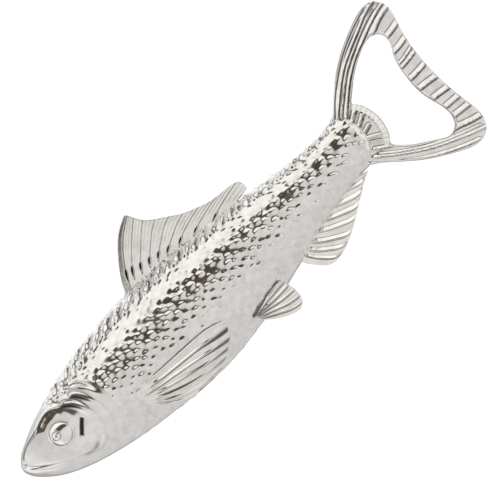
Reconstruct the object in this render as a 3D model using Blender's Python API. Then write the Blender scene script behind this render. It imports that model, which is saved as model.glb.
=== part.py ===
"""A fish-shaped bottle opener: a hollow two-shell metal body with a solid tail that opens crown caps.

The fish lies on its right flank. In the fish's own frame, +X runs from the snout to the tail, +Y
towards the dorsal fin and +Z out of the left flank, with Z = 0 on the seam between the two shells.
Tables of sizes are in millimetres in that frame; everything is scaled to metres as it is built.
"""

import math

import bmesh
import bpy
import numpy as np
from mathutils import Matrix, Vector
from mathutils.geometry import tessellate_polygon

MM = 0.001

# --- Driving dimensions, in millimetres -------------------------------------------------------
SNOUT_X = -0.7          # foremost point of the body
BODY_END_X = 138.0      # where the body's skin closes down onto the tail plate
SECTION_POWER = 2.2     # superellipse power of the body's cross-section; 2 is a plain ellipse
PEDUNCLE_X = 131.0      # from here back, the body thins quickly to the tail plate
WALL = 2.2              # thickness of the shells
FIT_GAP = 0.3           # clearance left between any two pieces
SEAM_HALF = FIT_GAP / 2

TAIL_THICK = 4.0        # tail plate, lip and tang
FIN_THICK = 2.0         # dorsal and anal fin plates
LEAF_THICK = 1.2        # pectoral and pelvic fins
LIP_CENTRE = (131.0, 0.2)
LIP_RADIUS = 12.9
LIP_BEVEL_WIDTH = 2.1
LIP_EDGE_THICK = 1.8
LIP_HALF_ANGLE = math.radians(34)

PIN_RADIUS = 1.2
BORE_RADIUS = PIN_RADIUS + FIT_GAP
BOSS_RADIUS = 2.7
PIN_SIDES = 16
BOSS_COVER = 0.5         # least thickness left between a boss's end and the skin

EYE_CENTRE = (14.7, -1.2)
EYE_RADIUS = 3.2
EYE_DOME = [(0.0, 1.3), (1.0, 1.25), (1.9, 1.0), (2.7, 0.55), (EYE_RADIUS, 0.0)]   # radius, height
EYE_SINK = 0.8           # how far the eye's disc goes below the cheek
EYE_STEM_RADIUS = 1.0
EYE_STEM_DEPTH = 1.7
EYE_SIDES = 20

# Pegs that hold the flank fins: X, Y, radius, depth below the skin, and rise into the fin.
PECTORAL_PEG = (43.0, -10.6, 0.9, 1.4, 0.7)
PELVIC_PEG = (80.6, -16.3, 0.7, 1.4, 1.05)

# Where the fish frame's origin lies in the part's frame: the middle of the part's footprint, with
# the seam plane raised by what the right side stands out below it.
FRAME_ORIGIN = (-83.6, -2.855, 11.485)

# The side view of the body, head to tail: back, belly and half width at each knot.
BACK = [(SNOUT_X, -1.9), (0.2, 0.9), (2, 2.6), (6, 4.7), (11, 6.9), (18, 9.0), (28, 11.4), (40, 13.4),
        (54, 14.4), (68, 14.2), (82, 12.9), (96, 11.2), (108, 9.3), (119, 8.0), (127, 7.9), (134, 9.0),
        (BODY_END_X, 10.4)]
BELLY = [(SNOUT_X, -1.9), (0.1, -4.4), (2, -6.6), (6.3, -10.0), (12, -12.9), (20, -15.6), (30, -17.8),
         (42, -19.5), (56, -20.7), (68, -20.4), (80, -18.6), (92, -16.0), (104, -12.9), (114, -10.4),
         (124, -8.8), (132, -8.2), (BODY_END_X, -8.6)]
HALF_WIDTH = [(SNOUT_X, 0.0), (0.4, 2.7), (3, 4.2), (8, 5.9), (15, 7.6), (24, 9.2), (38, 10.4), (54, 10.7),
              (68, 10.2), (82, 9.2), (96, 7.8), (110, 6.2), (122, 4.9), (PEDUNCLE_X, 4.1), (BODY_END_X, 3.9)]

# The tail's outer edge, as smooth strokes that meet at corners, from the tang's end round the
# upper lobe, down the cap bar and back along the lower lobe.
TAIL_OUTER = [
    [(101.5, -3.4), (101.5, 3.2)],
    [(101.5, 3.2), (131.0, 3.8)],
    [(131.0, 3.8), (132.8, 8.4)],
    [(132.8, 8.4), (134.5, 9.6), (140, 14.7), (148, 20.6), (156, 24.3), (162, 26.0),
     (165.8, 25.2), (167.9, 21.5), (167.3, 17.3), (165.6, 11.7), (164.5, 5.0), (164.1, -1.5),
     (164.5, -9.0), (165.4, -16.0), (165.6, -20.0), (163.9, -23.9), (160, -25.6), (154, -23.7),
     (146, -19.0), (138.5, -12.9), (134.0, -9.2), (132.2, -8.3)],
    [(132.2, -8.3), (130.6, -4.0)],
    [(130.6, -4.0), (101.5, -3.4)],
]
# The opening behind the lip: the lip's own arc is added between the last point and the first.
TAIL_OPENING = [
    [(141.3, 8.3), (142.3, 9.6), (146, 12.7), (151, 15.8), (155.5, 17.8), (158.6, 18.1), (160.9, 16.5),
     (161.2, 13.4), (159.2, 9.4), (157.8, 3.5), (157.4, -1.2), (157.8, -5.5), (159.1, -10.5),
     (159.3, -14.0), (158.1, -16.9), (155.4, -18.2), (151, -16.2), (145, -12.3), (142.2, -9.9),
     (141.1, -8.2)],
]
# Fin plates that stand in the seam, each with a tab that reaches into the body.
DORSAL_FIN = [
    [(58.0, 8.6), (55.6, 13.0), (57.5, 18.0), (62, 24.2), (67, 29.0), (71.6, 31.3)],
    [(71.6, 31.3), (73.0, 29.4), (76.5, 25.2), (82, 20.3), (88, 17.8), (95, 16.1), (101.5, 15.4),
     (103.0, 14.0), (102.0, 11.9), (99.6, 11.7)],
    [(99.6, 11.7), (97.0, 8.6)],
    [(97.0, 8.6), (82.0, 5.2)],
    [(82.0, 5.2), (70.0, 5.2)],
    [(70.0, 5.2), (58.0, 8.6)],
]
ANAL_FIN = [
    [(101.0, -6.0), (99.4, -13.6), (100.8, -17.6), (103.6, -20.3), (106.5, -21.2), (111, -20.0),
     (118, -16.3), (125, -12.0), (130.3, -9.1)],
    [(130.3, -9.1), (125.0, -6.9)],
    [(125.0, -6.9), (112.0, -6.0)],
    [(112.0, -6.0), (101.0, -6.0)],
]
# Fins that lie on the flank: root edge and trailing edge, both from the top ray to the bottom one.
PECTORAL_ROOT = [(38.0, -7.5), (38.3, -10.8), (40.0, -14.2)]
PECTORAL_TIP = [(70.6, -10.0), (69.2, -13.6), (66.0, -16.8), (61.0, -19.0), (56.0, -19.8)]
PECTORAL_BOW = 1.6       # how far the middle of the lowest ray sags below a straight line
PELVIC_ROOT = [(78.6, -15.9), (78.2, -17.0), (79.0, -18.2)]
PELVIC_TIP = [(90.7, -13.8), (91.7, -18.0), (90.6, -22.6), (86.5, -23.2)]
PELVIC_BOW = 1.0
PELVIC_Z = 4.5           # the pelvic fin's inner face at its root, where it is clear of the flank
PELVIC_SPLAY = 0.09      # how much further out it stands for each millimetre aft
PELVIC_THICK = 1.5

# Dowels: name, X, Y, half length, and the radius of the boss round each (0 where the shell is solid).
DOWELS = [
    ("locating_pin_head", 25.0, -3.0, 6.0, BOSS_RADIUS),
    ("locating_pin_belly", 58.0, -13.0, 6.0, BOSS_RADIUS),
    ("dorsal_fin_pin", 76.0, 8.0, 3.6, BOSS_RADIUS),
    ("anal_fin_pin", 106.0, -8.2, 3.6, 0.0),
    ("tang_pin_front", 108.0, 0.0, 4.4, 0.0),
    ("tang_pin_rear", 122.0, 0.0, 3.6, 0.0),
]
CAVITY = (7.0, 98.0)     # the hollow's front and rear limits

# --- Curves -----------------------------------------------------------------------------------


def natural_cubic(knots):
    """A smooth function through (x, y) knots."""
    x, y = np.array(knots, float).T
    h = np.diff(x)
    matrix = np.eye(len(x))
    right = np.zeros(len(x))
    for i in range(1, len(x) - 1):
        matrix[i, i - 1 : i + 2] = h[i - 1], 2 * (h[i - 1] + h[i]), h[i]
        right[i] = 6 * ((y[i + 1] - y[i]) / h[i] - (y[i] - y[i - 1]) / h[i - 1])
    bend = np.linalg.solve(matrix, right)

    def at(value):
        value = np.asarray(value, float)
        i = np.clip(np.searchsorted(x, value) - 1, 0, len(h) - 1)
        before, after = value - x[i], x[i + 1] - value
        return (
            (bend[i] * after**3 + bend[i + 1] * before**3) / (6 * h[i])
            + (y[i] / h[i] - bend[i] * h[i] / 6) * after
            + (y[i + 1] / h[i] - bend[i + 1] * h[i] / 6) * before
        )

    return at


def body_curve(knots):
    """A body line as a function of X. It is smooth in the square root of the distance from the
    snout, which rounds the snout off."""
    curve = natural_cubic([(math.sqrt(x - SNOUT_X), y) for x, y in knots])
    return lambda x: curve(np.sqrt(np.maximum(np.asarray(x, float) - SNOUT_X, 0)))


back_y, belly_y, half_width_knots = body_curve(BACK), body_curve(BELLY), body_curve(HALF_WIDTH)


def half_width(x):
    """Half the body's thickness: the table's, closing down over the tail plate behind the peduncle."""
    along = np.clip((np.asarray(x, float) - PEDUNCLE_X) / (BODY_END_X - PEDUNCLE_X), 0, 1)
    return half_width_knots(x) * np.cbrt(1 - along**3)


def flank_z(x, y):
    """Height of the left flank above the seam plane."""
    middle = (back_y(x) + belly_y(x)) / 2
    half_depth = (back_y(x) - belly_y(x)) / 2
    share = np.minimum(np.abs((y - middle) / half_depth), 1)
    return half_width(x) * (1 - share**SECTION_POWER) ** (1 / SECTION_POWER)


def along(points, count):
    """count points evenly spaced along a smooth curve through the given ones."""
    points = np.array(points, float)
    if len(points) == 2:
        return points[0] + np.linspace(0, 1, count)[:, None] * (points[1] - points[0])
    steps = np.linalg.norm(np.diff(points, axis=0), axis=1)
    at = np.concatenate([[0], np.cumsum(steps)])
    curves = [natural_cubic(list(zip(at, points[:, k]))) for k in range(2)]
    where = np.linspace(0, at[-1], count)
    return np.stack([curve(where) for curve in curves], axis=1)


def outline(strokes, step):
    """The closed outline that strokes make, with a point about every step millimetres."""
    found = []
    for stroke in strokes:
        length = np.linalg.norm(np.diff(np.array(stroke), axis=0), axis=1).sum()
        found.extend(along(stroke, max(2, round(length / step) + 1))[:-1])
    return np.array(found)


def arc(centre, radius, start, end, count):
    """Points on a circular arc, angles in radians."""
    angles = np.linspace(start, end, count)
    return np.stack([centre[0] + radius * np.cos(angles), centre[1] + radius * np.sin(angles)], axis=1)


def grown(points, by):
    """A closed anticlockwise or clockwise outline moved outwards by a distance."""
    before, after = np.roll(points, 1, axis=0), np.roll(points, -1, axis=0)
    area = (points[:, 0] * after[:, 1] - after[:, 0] * points[:, 1]).sum()
    tangent = after - before
    tangent /= np.linalg.norm(tangent, axis=1)[:, None]
    outward = np.stack([tangent[:, 1], -tangent[:, 0]], axis=1) * (1 if area > 0 else -1)
    return points + outward * by


# --- Building blocks --------------------------------------------------------------------------


def material(name, colour, roughness, metallic=1.0):
    made = bpy.data.materials.new(name)
    made.use_nodes = True
    shader = made.node_tree.nodes["Principled BSDF"]
    shader.inputs["Base Color"].default_value = (*colour, 1)
    shader.inputs["Roughness"].default_value = roughness
    shader.inputs["Metallic"].default_value = metallic
    return made


def new_object(name, points, faces, finish=None):
    """An object from points in millimetres in the fish frame, hung on the fish empty."""
    mesh = bpy.data.meshes.new(name)
    mesh.from_pydata([Vector(p) * MM for p in points], [], [tuple(f) for f in faces])
    body = bmesh.new()
    body.from_mesh(mesh)
    bmesh.ops.remove_doubles(body, verts=body.verts, dist=1e-7)
    bmesh.ops.recalc_face_normals(body, faces=body.faces)
    body.to_mesh(mesh)
    body.free()
    made = bpy.data.objects.new(name, mesh)
    bpy.context.scene.collection.objects.link(made)
    made.parent = bpy.data.objects["fish"]
    if finish:
        mesh.materials.append(finish)
    return made


def as_cutter(made):
    made.hide_render = True
    made.display_type = "WIRE"
    return made


def boolean(target, other, operation="DIFFERENCE"):
    modifier = target.modifiers.new(operation.title() + "_" + other.name, "BOOLEAN")
    modifier.operation = operation
    modifier.object = other
    modifier.solver = "EXACT"


def plate(name, loops, low, high, finish=None):
    """A flat plate between two heights, from one outer outline and any number of holes."""
    flat = [[Vector((x, y, 0)) for x, y in loop] for loop in loops]
    triangles = tessellate_polygon(flat)
    count = sum(len(loop) for loop in flat)
    points = [(p.x, p.y, z) for z in (low, high) for loop in flat for p in loop]
    faces = [tuple(t) for t in triangles] + [tuple(i + count for i in reversed(t)) for t in triangles]
    first = 0
    for loop in flat:
        for i in range(len(loop)):
            a, b = first + i, first + (i + 1) % len(loop)
            faces.append((a, b, b + count, a + count))
        first += len(loop)
    return new_object(name, points, faces, finish)


def grid_solid(name, inner, outer, finish=None):
    """A closed sheet between two grids of points of the same size."""
    rows, columns = len(inner), len(inner[0])
    points = [p for grid in (inner, outer) for row in grid for p in row]
    count = rows * columns

    def at(layer, i, j):
        return layer * count + i * columns + j

    faces = []
    for i in range(rows - 1):
        for j in range(columns - 1):
            corners = [(i, j), (i + 1, j), (i + 1, j + 1), (i, j + 1)]
            faces.append([at(0, *c) for c in corners])
            faces.append([at(1, *c) for c in reversed(corners)])
    rim = (
        [(i, 0) for i in range(rows - 1)]
        + [(rows - 1, j) for j in range(columns - 1)]
        + [(i, columns - 1) for i in range(rows - 1, 0, -1)]
        + [(0, j) for j in range(columns - 1, 0, -1)]
    )
    for k, a in enumerate(rim):
        b = rim[(k + 1) % len(rim)]
        faces.append([at(0, *a), at(0, *b), at(1, *b), at(1, *a)])
    return new_object(name, points, faces, finish)


def rod(name, x, y, low, high, radius, sides=PIN_SIDES, finish=None):
    """A round rod across the seam, with its axis along Z."""
    return plate(name, [arc((x, y), radius, 0, 2 * math.pi, sides + 1)[:-1]], low, high, finish)


# --- Body shells ------------------------------------------------------------------------------

STATIONS = 40
SECTION_STEPS = 12


def half_body(name, side, inset, first_x, last_x, low, finish=None):
    """One half of the body's shape, as a solid from the seam out to the skin, inset by a wall.

    low is where the flat side lies. At inset 0 this is the shell's outside; at WALL, its hollow.
    """
    spread = np.linspace(math.sqrt(first_x - SNOUT_X), math.sqrt(last_x - SNOUT_X), STATIONS)
    points, rings = [], []
    for x in spread**2 + SNOUT_X:
        middle = float(back_y(x) + belly_y(x)) / 2
        half_depth = max(float(back_y(x) - belly_y(x)) / 2 - inset, 0)
        out = max(float(half_width(x)) - inset, 0)
        if half_depth < 1e-6 or out < 1e-6:
            rings.append([len(points)])
            points.append((x, middle, side * low))
            continue
        ring = []
        for angle in np.linspace(0, math.pi, SECTION_STEPS + 1):
            up = math.copysign(abs(math.cos(angle)) ** (2 / SECTION_POWER), math.cos(angle))
            height = max(math.sin(angle), 0) ** (2 / SECTION_POWER)
            ring.append(len(points))
            points.append((x, middle + half_depth * up, side * (low + (out - low) * height)))
        rings.append(ring)
    faces = []
    for one, two in zip(rings, rings[1:]):
        if len(one) == 1:
            faces += [(one[0], two[j + 1], two[j]) for j in range(SECTION_STEPS)]
            faces.append((one[0], two[0], two[-1]))
        elif len(two) == 1:
            faces += [(two[0], one[j], one[j + 1]) for j in range(SECTION_STEPS)]
            faces.append((two[0], one[-1], one[0]))
        else:
            faces += [(one[j], one[j + 1], two[j + 1], two[j]) for j in range(SECTION_STEPS)]
            faces.append((one[-1], one[0], two[0], two[-1]))
    for ring in (rings[0], rings[-1]):
        if len(ring) > 1:
            faces.append(ring)
    return new_object(name, points, faces, finish)


def shell(name, side, finish):
    """One body shell: hollow, with bosses for the dowels and seats for the tail, fins and eye."""
    made = half_body(name, side, 0, SNOUT_X, BODY_END_X - 0.1, SEAM_HALF, finish)
    boolean(made, as_cutter(half_body(name + "_hollow", side, WALL, *CAVITY, -1.0)))
    for pin, x, y, half_length, boss in DOWELS:
        if boss:
            reach = min(flank_z(*p) for p in arc((x, y), boss, 0, 2 * math.pi, 13)) - BOSS_COVER
            ends = sorted((side * SEAM_HALF, side * reach))
            boolean(made, as_cutter(rod(f"{name}_{pin}_boss", x, y, *ends, boss)), "UNION")
    return made


def cut_seats(made, name, side, seats):
    """Cuts the pockets that the seam-mounted pieces sit in, then every bore."""
    for seat in seats:
        boolean(made, seat)
    for pin, x, y, half_length, boss in DOWELS:
        ends = sorted((side * -1.0, side * (half_length + FIT_GAP)))
        boolean(made, as_cutter(rod(f"{name}_{pin}_bore", x, y, *ends, BORE_RADIUS)))


# --- Tail -------------------------------------------------------------------------------------


def tail_loops():
    lip_start = math.radians(-39.6)
    lip = arc(LIP_CENTRE, LIP_RADIUS, lip_start, -lip_start, 15)[1:-1]
    opening = np.concatenate([outline(TAIL_OPENING, 2.2), [TAIL_OPENING[0][-1]], lip])
    return outline(TAIL_OUTER, 2.2), opening


def lip_bevel(name, side):
    """A ring sector that pares one face of the lip down towards its edge."""
    half = TAIL_THICK / 2
    inner, outer = LIP_RADIUS - LIP_BEVEL_WIDTH, LIP_RADIUS + 0.6
    slope = (half - LIP_EDGE_THICK / 2) / LIP_BEVEL_WIDTH
    profile = [(inner, half), (outer, half - slope * (outer - inner)), (outer, half + 1), (inner, half + 1)]
    steps = 14   # an even number, so that one facet faces straight aft
    rings = [
        [
            (LIP_CENTRE[0] + r * math.cos(a), LIP_CENTRE[1] + r * math.sin(a), side * z)
            for r, z in profile
        ]
        for a in np.linspace(-LIP_HALF_ANGLE, LIP_HALF_ANGLE, steps)
    ]
    points = [p for ring in rings for p in ring]
    faces = [
        (4 * i + k, 4 * i + (k + 1) % 4, 4 * i + 4 + (k + 1) % 4, 4 * i + 4 + k)
        for i in range(steps - 1)
        for k in range(4)
    ]
    faces += [(0, 1, 2, 3), tuple(4 * (steps - 1) + k for k in range(4))]
    return as_cutter(new_object(name, points, faces))


def tail_opener(finish):
    outer, opening = tail_loops()
    holes = [
        arc((x, y), BORE_RADIUS, 0, 2 * math.pi, PIN_SIDES + 1)[:-1]
        for pin, x, y, half_length, boss in DOWELS
        if pin.startswith("tang")
    ]
    made = plate("tail_opener", [outer, opening, *holes], -TAIL_THICK / 2, TAIL_THICK / 2, finish)
    for side, word in ((1, "left"), (-1, "right")):
        boolean(made, lip_bevel(f"lip_bevel_{word}", side))
    return made


# --- Fins and eyes ----------------------------------------------------------------------------


def seam_fin(name, strokes, pin_name, finish):
    """A fin plate that stands in the seam, held by one dowel through its tab."""
    hole = next(
        arc((x, y), BORE_RADIUS, 0, 2 * math.pi, PIN_SIDES + 1)[:-1]
        for pin, x, y, half_length, boss in DOWELS
        if pin == pin_name
    )
    return plate(name, [outline(strokes, 2.6), hole], -FIN_THICK / 2, FIN_THICK / 2, finish)


def fan(root, tip, bow, rays, steps):
    """Points of a fin that fans from its root edge to its trailing edge. Lower rays sag more."""
    roots, tips = along(root, rays), along(tip, rays)
    lengthwise = np.linspace(0, 1, steps)[:, None, None]
    sag = np.zeros((steps, rays, 2))
    sag[:, :, 1] = -bow * 4 * (lengthwise * (1 - lengthwise))[:, :, 0] * np.linspace(0, 1, rays)
    return roots + lengthwise * (tips - roots) + sag


def pectoral_fin(name, side, finish):
    """A leaf that follows the flank, with a peg at its root."""
    flat = fan(PECTORAL_ROOT, PECTORAL_TIP, PECTORAL_BOW, 9, 12)
    inner, outer = [], []
    for i, row in enumerate(flat):
        thick = LEAF_THICK * (0.5 + 0.5 * i / (len(flat) - 1))
        under = [flank_z(x, y) + FIT_GAP for x, y in row]
        inner.append([(x, y, side * z) for (x, y), z in zip(row, under)])
        outer.append([(x, y, side * (z + thick)) for (x, y), z in zip(row, under)])
    made = grid_solid(name, inner, outer, finish)
    add_peg(made, name, side, *PECTORAL_PEG)
    return made


def pelvic_fin(name, side, finish):
    """A leaf that lies on the belly at its root and splays out behind it, with a peg."""
    flat = fan(PELVIC_ROOT, PELVIC_TIP, PELVIC_BOW, 7, 8)
    inner, outer = [], []
    for row in flat:
        splayed = [PELVIC_Z + PELVIC_SPLAY * (x - PELVIC_ROOT[0][0]) for x, y in row]
        under = [max(flank_z(x, y) + FIT_GAP, z) for (x, y), z in zip(row, splayed)]
        inner.append([(x, y, side * z) for (x, y), z in zip(row, under)])
        outer.append([(x, y, side * (z + PELVIC_THICK)) for (x, y), z in zip(row, under)])
    made = grid_solid(name, inner, outer, finish)
    add_peg(made, name, side, *PELVIC_PEG)
    return made


def add_peg(made, name, side, x, y, radius, depth, rise):
    skin = float(flank_z(x, y))
    ends = sorted((side * (skin - depth), side * (skin + rise)))
    boolean(made, as_cutter(rod(name + "_peg", x, y, *ends, radius, 12)), "UNION")


def peg_hole(name, side, x, y, radius, depth, rise):
    skin = float(flank_z(x, y))
    ends = sorted((side * (skin - depth - FIT_GAP), side * (skin + rise + 1)))
    return as_cutter(rod(name + "_hole", x, y, *ends, radius + FIT_GAP, 12))


def eye_place(side):
    """Turns the eye's own frame, with +Z out of the head, so that it sits square on the cheek."""
    x, y = EYE_CENTRE
    step = 0.5
    slope_x = float(flank_z(x + step, y) - flank_z(x - step, y)) / (2 * step)
    slope_y = float(flank_z(x, y + step) - flank_z(x, y - step)) / (2 * step)
    outward = Vector((-slope_x, -slope_y, 1)).normalized()
    across = Vector((1, 0, slope_x)).normalized()
    columns = [across, outward.cross(across), outward]
    turn = Matrix([[column[row] for column in columns] for row in range(3)])
    mirror = Matrix.Diagonal((1, 1, side))
    centre = Vector((x, y, float(flank_z(x, y))))
    return lambda point: mirror @ (centre + turn @ Vector(point))


def turned_solid(name, side, profile, finish=None):
    """A round solid about the eye's axis, from (radius, height) points; its ends are closed."""
    place = eye_place(side)
    points, rings = [], []
    for radius, height in profile:
        ring = arc((0, 0), radius, 0, 2 * math.pi, EYE_SIDES + 1)[:-1] if radius else [(0, 0)]
        rings.append(range(len(points), len(points) + len(ring)))
        points += [place((px, py, height)) for px, py in ring]
    faces = [list(ring) for ring in (rings[0], rings[-1]) if len(ring) > 1]
    for one, two in zip(rings, rings[1:]):
        for j in range(EYE_SIDES):
            after = (j + 1) % EYE_SIDES
            if len(one) == 1:
                faces.append((one[0], two[j], two[after]))
            else:
                faces.append((one[j], one[after], two[after], two[j]))
    return new_object(name, points, faces, finish)


def eye(name, side, finish):
    """A domed button on a stem, pressed into the head."""
    stem = [(EYE_STEM_RADIUS, -EYE_SINK), (EYE_STEM_RADIUS, -EYE_STEM_DEPTH)]
    return turned_solid(name, side, EYE_DOME + [(EYE_RADIUS, -EYE_SINK)] + stem, finish)


def eye_seat(name, side):
    above = 4.0
    wide, narrow = EYE_RADIUS + FIT_GAP, EYE_STEM_RADIUS + FIT_GAP
    profile = [(wide, above), (wide, -EYE_SINK - FIT_GAP), (narrow, -EYE_SINK - FIT_GAP),
               (narrow, -EYE_STEM_DEPTH - FIT_GAP)]
    return as_cutter(turned_solid(name + "_seat", side, profile))


# --- Assembly ---------------------------------------------------------------------------------


def clear_scene():
    for made in list(bpy.data.objects):
        bpy.data.objects.remove(made, do_unlink=True)


def main():
    clear_scene()
    origin = bpy.data.objects.new("fish", None)
    bpy.context.scene.collection.objects.link(origin)
    origin.location = Vector(FRAME_ORIGIN) * MM

    body_metal = material("body_metal", (0.80, 0.79, 0.77), 0.16)
    tail_metal = material("tail_metal", (0.79, 0.78, 0.76), 0.20)
    fin_metal = material("fin_metal", (0.80, 0.79, 0.77), 0.18)
    eye_metal = material("eye_metal", (0.72, 0.70, 0.67), 0.12)
    pin_steel = material("pin_steel", (0.55, 0.56, 0.58), 0.35)

    tail_outer, _ = tail_loops()
    reach = TAIL_THICK / 2 + FIT_GAP
    fin_reach = FIN_THICK / 2 + FIT_GAP
    seats = [
        as_cutter(plate("tail_seat", [grown(tail_outer, FIT_GAP)], -reach, reach)),
        as_cutter(plate("dorsal_seat", [grown(outline(DORSAL_FIN, 2.6), FIT_GAP)], -fin_reach, fin_reach)),
        as_cutter(plate("anal_seat", [grown(outline(ANAL_FIN, 2.6), FIT_GAP)], -fin_reach, fin_reach)),
    ]
    for side, word in ((1, "left"), (-1, "right")):
        name = word + "_shell"
        made = shell(name, side, body_metal)
        cut_seats(made, name, side, seats)
        pegs = (("pectoral", PECTORAL_PEG), ("pelvic", PELVIC_PEG))
        for fin, peg in pegs:
            boolean(made, peg_hole(f"{word}_{fin}", side, *peg))
        boolean(made, eye_seat(word, side))
        pectoral_fin("pectoral_fin_" + word, side, fin_metal)
        pelvic_fin("pelvic_fin_" + word, side, fin_metal)
        eye("eye_" + word, side, eye_metal)

    tail_opener(tail_metal)
    seam_fin("dorsal_fin", DORSAL_FIN, "dorsal_fin_pin", fin_metal)
    seam_fin("anal_fin", ANAL_FIN, "anal_fin_pin", fin_metal)
    for pin, x, y, half_length, boss in DOWELS:
        rod(pin, x, y, -half_length, half_length, PIN_RADIUS, PIN_SIDES, pin_steel)


main()
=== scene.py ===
"""Looks for the fish-shaped bottle opener: plated metal skin with scales, gill covers, ribbed fins and tail.

Sizes are in millimetres in the fish's own frame: X from the snout to the tail, Y towards the dorsal
fin, Z out of the left flank, with Z = 0 on the seam between the two body shells.
"""

import math

import bmesh
import bpy
import numpy as np
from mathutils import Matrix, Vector


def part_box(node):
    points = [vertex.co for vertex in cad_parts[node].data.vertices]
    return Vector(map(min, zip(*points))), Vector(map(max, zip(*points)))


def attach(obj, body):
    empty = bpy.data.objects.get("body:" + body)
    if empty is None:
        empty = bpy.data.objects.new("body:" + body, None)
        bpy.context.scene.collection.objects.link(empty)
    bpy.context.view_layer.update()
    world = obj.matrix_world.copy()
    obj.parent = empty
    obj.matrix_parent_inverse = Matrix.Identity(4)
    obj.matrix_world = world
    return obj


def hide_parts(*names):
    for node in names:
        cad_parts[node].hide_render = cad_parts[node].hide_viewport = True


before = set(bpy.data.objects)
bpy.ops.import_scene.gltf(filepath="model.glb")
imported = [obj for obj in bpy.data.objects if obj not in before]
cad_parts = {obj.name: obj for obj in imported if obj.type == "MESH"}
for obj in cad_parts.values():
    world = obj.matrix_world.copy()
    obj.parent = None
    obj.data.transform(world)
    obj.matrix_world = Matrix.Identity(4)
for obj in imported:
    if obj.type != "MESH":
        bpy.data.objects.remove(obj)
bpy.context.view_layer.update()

MM = 0.001
DETAIL = 1.0    # mesh density

# The head's locating pin stands on the seam at this place in the fish frame, which ties the two frames.
HEAD_PIN = Vector((25.0, -3.0, 0.0))
pin_low, pin_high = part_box("locating_pin_head")
ORIGIN = (Vector(pin_low) + Vector(pin_high)) / 2 - HEAD_PIN * MM

# --- Body form, as in the CAD shells ----------------------------------------------------------
SNOUT_X = -0.7
BODY_END_X = 138.0
PEDUNCLE_X = 131.0
SECTION_POWER = 2.2
SEAM_HALF = 0.06         # half the hairline left between the two shells
WALL = 2.2
CAVITY = (7.0, 98.0)

BACK = [(SNOUT_X, -1.9), (0.2, 0.9), (2, 2.6), (6, 4.7), (11, 6.9), (18, 9.0), (28, 11.4), (40, 13.4),
        (54, 14.4), (68, 14.2), (82, 12.9), (96, 11.2), (108, 9.3), (119, 8.0), (127, 7.9), (134, 9.0),
        (BODY_END_X, 10.4)]
BELLY = [(SNOUT_X, -1.9), (0.1, -4.4), (2, -6.6), (6.3, -10.0), (12, -12.9), (20, -15.6), (30, -17.8),
         (42, -19.5), (56, -20.7), (68, -20.4), (80, -18.6), (92, -16.0), (104, -12.9), (114, -10.4),
         (124, -8.8), (132, -8.2), (BODY_END_X, -8.6)]
HALF_WIDTH = [(SNOUT_X, 0.0), (0.4, 2.7), (3, 4.2), (8, 5.9), (15, 7.6), (24, 9.2), (38, 10.4), (54, 10.7),
              (68, 10.2), (82, 9.2), (96, 7.8), (110, 6.2), (122, 4.9), (PEDUNCLE_X, 4.1), (BODY_END_X, 3.9)]


def natural_cubic(knots):
    """A smooth function through (x, y) knots."""
    x, y = np.array(knots, float).T
    h = np.diff(x)
    matrix = np.eye(len(x))
    right = np.zeros(len(x))
    for i in range(1, len(x) - 1):
        matrix[i, i - 1 : i + 2] = h[i - 1], 2 * (h[i - 1] + h[i]), h[i]
        right[i] = 6 * ((y[i + 1] - y[i]) / h[i] - (y[i] - y[i - 1]) / h[i - 1])
    bend = np.linalg.solve(matrix, right)

    def at(value):
        value = np.asarray(value, float)
        i = np.clip(np.searchsorted(x, value) - 1, 0, len(h) - 1)
        before, after = value - x[i], x[i + 1] - value
        return (
            (bend[i] * after**3 + bend[i + 1] * before**3) / (6 * h[i])
            + (y[i] / h[i] - bend[i] * h[i] / 6) * after
            + (y[i + 1] / h[i] - bend[i + 1] * h[i] / 6) * before
        )

    return at


def body_curve(knots):
    """A body line as a function of X, smooth in the square root of the distance from the snout."""
    curve = natural_cubic([(math.sqrt(x - SNOUT_X), y) for x, y in knots])
    return lambda x: curve(np.sqrt(np.maximum(np.asarray(x, float) - SNOUT_X, 0)))


back_y, belly_y, half_width_knots = body_curve(BACK), body_curve(BELLY), body_curve(HALF_WIDTH)


def closing(x):
    """How the body's thickness closes down over the tail plate, 1 ahead of the peduncle."""
    share = np.clip((np.asarray(x, float) - PEDUNCLE_X) / (BODY_END_X - PEDUNCLE_X), 0, 1)
    return np.cbrt(1 - share**3)


def flank_z(x, y):
    """Height of the plain left flank above the seam plane."""
    middle = (back_y(x) + belly_y(x)) / 2
    half_depth = (back_y(x) - belly_y(x)) / 2
    share = np.minimum(np.abs((y - middle) / half_depth), 1)
    return half_width_knots(x) * closing(x) * (1 - share**SECTION_POWER) ** (1 / SECTION_POWER)


def flank_normal(x, y):
    """Outward normals of the plain left flank."""
    step = 0.1
    slope_x = (flank_z(x + step, y) - flank_z(x - step, y)) / (2 * step)
    slope_y = (flank_z(x, y + step) - flank_z(x, y - step)) / (2 * step)
    slope_x, slope_y = np.clip(slope_x, -3, 3), np.clip(slope_y, -3, 3)
    return unit(np.stack([-slope_x, -slope_y, np.ones_like(slope_x)], axis=-1))


# --- Small tools ------------------------------------------------------------------------------


def unit(vectors):
    return vectors / np.maximum(np.linalg.norm(vectors, axis=-1, keepdims=True), 1e-9)


def ease(low, high, value):
    """0 below low and 1 above high, with a smooth rise between. low may be the larger."""
    t = np.clip((value - low) / (high - low), 0, 1)
    return t * t * (3 - 2 * t)


def run_of(points):
    """Distance run at each of a row of points."""
    return np.concatenate([[0], np.cumsum(np.linalg.norm(np.diff(points, axis=0), axis=1))])


def spline(points, number):
    """Places evenly spaced along a smooth curve through the given points."""
    points = np.array(points, float)
    at = run_of(points)
    curves = [natural_cubic(list(zip(at, points[:, k]))) for k in range(2)]
    return np.stack([curve(np.linspace(0, at[-1], number)) for curve in curves], axis=1)


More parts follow.
